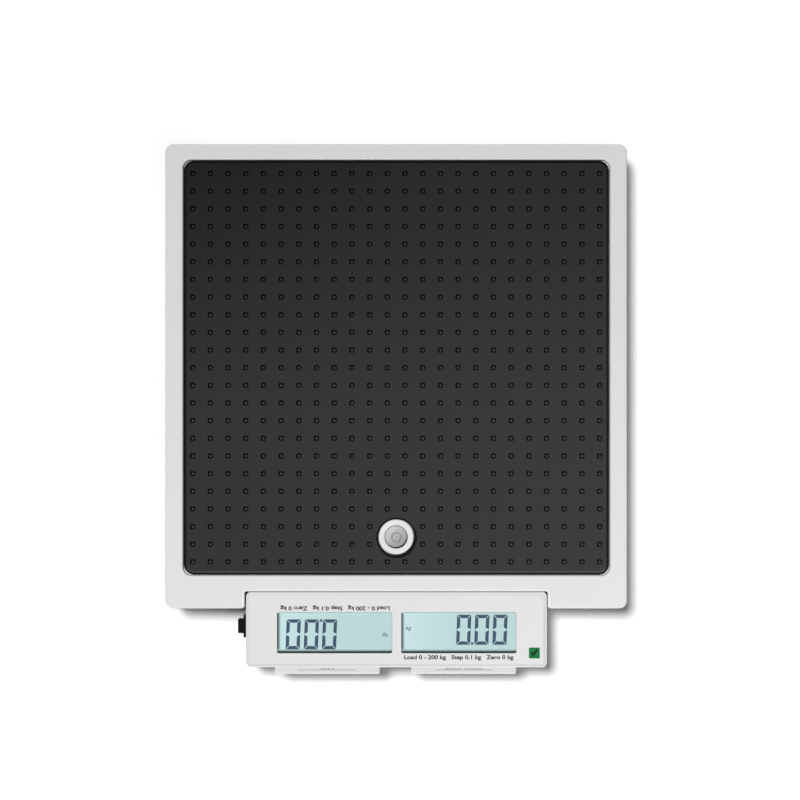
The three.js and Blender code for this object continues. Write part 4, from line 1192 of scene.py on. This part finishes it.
def foot_pad(corner):
    """A rubber pad with three round grooves in its sole, and a cup for the foot of the screw."""
    name = f"foot_pad_{corner}"
    low, high = node_box(name)
    radius = (high.x - low.x) / 2
    top = high.z
    profile = [(0, 0)]
    for groove in (4.5, 7.5, 10.5):
        profile += [(groove - 0.6, 0), (groove - 0.35, 0.7), (groove + 0.35, 0.7), (groove + 0.6, 0)]
    profile += [(radius - 1, 0), (radius - 0.3, 0.3), (radius, 1), (radius - 0.2, 2)]
    profile += [(radius - 1.1, top - 0.6), (radius - 1.5, top - 0.15), (radius - 2.1, top)]
    profile += [(6.7, top), (6.4, top - 0.3), (6.4, 2), (0, 2)]
    bm = bmesh.new()
    turned(bm, profile, 64)
    bmesh.ops.translate(bm, vec=foot_centre(corner), verts=bm.verts)
    stand_in(name, solid(bm), FOOT_RUBBER, name)


def foot_centre(corner):
    middle = node_middle(f"foot_pad_{corner}")
    return Vector((middle.x, middle.y, 0))


def wheel_outline(radius):
    """A circle with shallow waves for grip."""
    points = []
    for i in range(WHEEL_POINTS):
        angle = 2 * math.pi * i / WHEEL_POINTS
        wave = abs(math.sin(WHEEL_LOBES * angle / 2)) ** 0.6
        reach = radius - WHEEL_LOBE_DEPTH * (1 - wave)
        points.append(Vector((reach * math.cos(angle), reach * math.sin(angle))))
    return points


def foot_wheel(corner):
    """The thumbwheel with its hub, its collar below the load cell and a dished underside."""
    name = f"foot_screw_{corner}"
    low, high = node_box(name)
    radius = (high.x - low.x) / 2
    bottom = node_box(f"foot_pad_{corner}")[1].z + 0.5
    top = TRAY_LOW.z - 0.7
    levels = bottom_edge(bottom, 0.7) + top_edge(top, 0.7, steps=3)
    bm = bmesh.new()
    rings = [at(wheel_outline(radius - margin), z) for margin, z in levels]
    loft(bm, rings, cap_first=True, cap_last=True)
    hub = rod("z", 2.4, bottom + 1, (0, 0, 0), 6, 48, 0.4)
    collar_top = (top + node_box(f"load_cell_{corner}")[0].z) / 2 - 1.35
    collar = rod("z", top - 1, collar_top, (0, 0, 0), 6.5, 48, 0.4)
    dish = bmesh.new()
    turned(dish, [(9, bottom - 1), (14, bottom - 1), (13.4, bottom + 0.9), (9.6, bottom + 0.9)], 64)
    wheel = cut(join(solid(bm), hub, collar), solid(dish))
    wheel.data.transform(Matrix.Translation(foot_centre(corner)))
    piece(f"foot_wheel_{corner}", wheel, FOOT_PLASTIC, name, [name])
    threaded_stem(corner, top, high.z)


THREAD_PITCH = 1.25
THREAD_DEPTH = 0.45
STEM_RADIUS = 4.0


def threaded_stem(corner, start, end):
    """The stem above the thumbwheel, with a right-hand thread."""
    columns = 24
    rise = THREAD_PITCH / 8
    bm = bmesh.new()
    rings = []
    for row in range(int((end - start) / rise) + 1):
        z = start + row * rise
        ring = []
        taper = min(1.0, (end - z) / 1.2)
        for i in range(columns):
            turn = i / columns
            phase = ((z - start) / THREAD_PITCH - turn) % 1
            depth = THREAD_DEPTH * abs(2 * phase - 1)
            reach = STEM_RADIUS - depth - 0.5 * (1 - taper)
            angle = 2 * math.pi * turn
            ring.append(Vector((reach * math.cos(angle), reach * math.sin(angle), z)))
        rings.append(ring)
    loft(bm, rings, cap_first=True, cap_last=True)
    bmesh.ops.translate(bm, vec=foot_centre(corner), verts=bm.verts)
    body = f"foot_screw_{corner}"
    piece(f"foot_stem_{corner}", solid(bm), SCREW_STEEL, body, sharp_degrees=60)


# ---- Underside ----
def shell_screw(corner):
    """A pan-head screw with a cross recess, seen from below."""
    name = f"shell_screw_{corner}"
    low, high = node_box(name)
    middle = node_middle(name)
    radius = (high.x - low.x) / 2
    z = low.z
    profile = [(0, z), (1.9, z + 0.02), (2.8, z + 0.3), (radius - 0.1, z + 0.9), (radius, z + 1.3)]
    profile += [(radius, z + 2.3), (1.6, z + 2.3), (1.6, high.z - 1.2), (0.4, high.z), (0, high.z)]
    bm = bmesh.new()
    turned(bm, profile, 40)
    along_x = block(-1.7, 1.7, -0.32, 0.32, z - 1, z + 1.1)
    along_y = block(-0.32, 0.32, -1.7, 1.7, z - 1, z + 1.1)
    screw = cut(solid(bm), along_x, along_y)
    screw.data.transform(Matrix.Translation((middle.x, middle.y, 0)))
    stand_in(name, screw, SCREW_STEEL)


BATTERY_NUB = 1.2


def battery(number):
    """A cell with a raised terminal at one end and a flat base at the other; every second one is turned."""
    name = f"battery_{number}"
    low, high = node_box(name)
    middle = node_middle(name)
    radius = (high.x - low.x) / 2
    length = high.y - low.y
    shoulder = length - BATTERY_NUB
    profile = [(0, 0.2), (radius - 1.6, 0.2), (radius - 1.4, 0), (radius - 0.4, 0), (radius, 0.4)]
    profile += [(radius, shoulder - 0.5), (radius - 0.5, shoulder), (3.4, shoulder), (3.2, shoulder - 0.25)]
    profile += [(2.7, shoulder - 0.2), (2.7, length - 0.25), (2.4, length), (0, length)]
    bm = bmesh.new()
    turned(bm, profile, 48)
    facing, start = (-math.pi / 2, low.y) if number % 2 == 0 else (math.pi / 2, high.y)
    move = Matrix.Translation((middle.x, start, middle.z)) @ Matrix.Rotation(facing, 4, "X")
    bmesh.ops.transform(bm, matrix=move, verts=bm.verts)
    stand_in(name, solid(bm), BATTERY)


def label_bars():
    """Plain bars on the underside label, in place of wording."""
    z = LABEL_LOW.z
    for i, share in enumerate((0.8, 0.55, 0.7, 0.4)):
        y = LABEL_HIGH.y - 6 - i * 6.2
        x0 = LABEL_LOW.x + 5
        x1 = x0 + (LABEL_HIGH.x - LABEL_LOW.x - 10) * share
        bar = block(x0, x1, y - 0.9, y + 0.9, z - 0.03, z - 0.005)
        piece(f"label_bar_{i + 1}", bar, INK)


# ---- CAD nodes that stay, with better materials ----
def paint_nodes():
    plain = {
        "load_plate": STEEL,
        "base_tray": TRAY,
        "battery_door": TRAY,
        "battery_contacts_front": SPRING_STEEL,
        "battery_contacts_rear": SPRING_STEEL,
        "main_board": BOARD,
        "display_board": BOARD,
        "console_cable": CABLE,
        "console_bracket": STEEL,
        "rating_label": LABEL,
    }
    for corner in FEET:
        plain[f"load_cell_{corner}"] = ALUMINIUM
        plain[f"cell_hanger_{corner}"] = STEEL
        plain[f"cell_cable_{corner}"] = CABLE
    for side in SIDES:
        plain[f"display_window_{side}"] = PANE
        plain[f"lcd_{side}"] = display_glass(side)
        plain[f"key_switch_{side}"] = BLACK
    for name, material in plain.items():
        node = frame["nodes"][name]
        node.data.materials.clear()
        node.data.materials.append(material)


def round_edges(name, width, segments=2):
    """Rounds a CAD node's edges with modifiers, which leave its mesh as it is."""
    node = frame["nodes"][name]
    weld = node.modifiers.new("weld", "WELD")
    weld.merge_threshold = 1e-6
    flat = node.modifiers.new("flat_faces", "DECIMATE")
    flat.decimate_type = "DISSOLVE"
    flat.angle_limit = math.radians(1)
    bevel = node.modifiers.new("rounded_edges", "BEVEL")
    bevel.width = width * MM
    bevel.segments = segments
    bevel.limit_method = "ANGLE"
    bevel.angle_limit = math.radians(50)
    bevel.harden_normals = False
    bevel.use_clamp_overlap = True
    node.modifiers.new("weighted_normals", "WEIGHTED_NORMAL")


# ---- Stage ----
FRAME_WIDTH = 0.556
LENS = 150.0
SENSOR = 36.0
CAMERA_X = 0.0027
CAMERA_FROM_BACK = 0.1779
FLOOR_SIZE = 12


def camera():
    """Looks straight down with a long lens at the middle of the platform and console."""
    data = bpy.data.cameras.new("camera")
    data.lens = LENS
    data.sensor_width = SENSOR
    data.clip_end = 20
    view = bpy.data.objects.new("camera", data)
    bpy.context.scene.collection.objects.link(view)
    distance = FRAME_WIDTH * LENS / SENSOR
    view.location = (CAMERA_X, SHELL_HIGH.y * MM - CAMERA_FROM_BACK, SHELL_HIGH.z * MM + distance)
    bpy.context.scene.camera = view


def floor():
    bm = bmesh.new()
    bmesh.ops.create_grid(bm, x_segments=1, y_segments=1, size=FLOOR_SIZE)
    mesh = bpy.data.meshes.new("floor")
    bm.to_mesh(mesh)
    bm.free()
    stage = bpy.data.objects.new("floor", mesh)
    bpy.context.scene.collection.objects.link(stage)
    paint = Paint("floor_paper")
    cloud = paint.spread(paint.noise(400, 2), 0, 1)
    paint.colour(paint.blend(cloud, (0.835, 0.85, 0.85), (0.85, 0.86, 0.86)))
    mesh.materials.append(paint.set(Roughness=0.9))


def lamp(name, kind, place, power):
    """A lamp of a kind at a place, aimed at the object."""
    data = bpy.data.lights.new(name, kind)
    data.energy = power
    light = bpy.data.objects.new(name, data)
    bpy.context.scene.collection.objects.link(light)
    light.location = place
    light.rotation_euler = (-Vector(place)).to_track_quat("-Z", "Y").to_euler()
    return light


def area_light(name, place, size, power, diffuse=True):
    """A round lamp; power is the light that it gives at the object, as a white card would show it."""
    light = lamp(name, "AREA", place, power * math.pi**2 * Vector(place).length_squared)
    light.data.shape = "DISK"
    light.data.size = size
    light.visible_diffuse = diffuse


def sun_light(name, place, size, power):
    """A lamp as far as the sun, which looks as wide as a disk of this size at this place."""
    light = lamp(name, "SUN", place, power * math.pi)
    light.data.angle = 2 * math.atan(size / 2 / Vector(place).length)
    light.visible_glossy = False


def world_light():
    """A surround that is white at the horizon and dim above it."""
    world = bpy.data.worlds.new("studio")
    bpy.context.scene.world = world
    world.use_nodes = True
    nodes, links = world.node_tree.nodes, world.node_tree.links
    background = nodes["Background"]
    background.inputs["Color"].default_value = (1, 1, 1, 1)
    place = nodes.new("ShaderNodeTexCoord")
    parts = nodes.new("ShaderNodeSeparateXYZ")
    links.new(place.outputs["Generated"], parts.inputs["Vector"])
    fall = nodes.new("ShaderNodeMapRange")
    fall.interpolation_type = "SMOOTHSTEP"
    fall.inputs["From Min"].default_value = 0.03
    fall.inputs["From Max"].default_value = 0.16
    fall.inputs["To Min"].default_value = 0.9
    fall.inputs["To Max"].default_value = 0.02
    links.new(parts.outputs["Z"], fall.inputs["Value"])
    links.new(fall.outputs["Result"], background.inputs["Strength"])


def stage():
    camera()
    floor()
    world_light()
    sun_light("key_light", (-1.16, 1.26, 8.0), 1.4, 1.12)
    area_light("front_fill", (0.40, -0.72, 0.9), 0.8, 0.06)
    area_light("front_sheen", (0.42, -0.70, 0.9), 0.8, 0.18, diffuse=False)
    area_light("overhead_softbox", (0.75, -0.70, 3.2), 1.6, 0.10)
    bpy.context.scene.view_settings.view_transform = "Standard"


# ---- Everything ----
stage()
top_shell()
platform_mat()
for level_piece in (level_collar, level_housing, level_vial, level_fluid, level_marks):
    level_piece()
console_cover()
console_base()
for side in SIDES:
    foot_key(side)
    key_spring(side)
    display_segments(side)
    display_shade(side)
key_marks()
capacity_text()
power_inlet()
check_sticker()
for corner in FEET:
    foot_pad(corner)
    foot_wheel(corner)
    shell_screw(corner)
for number in range(1, 7):
    battery(number)
label_bars()
paint_nodes()
for name in ("base_tray", "battery_door"):
    round_edges(name, 0.4)
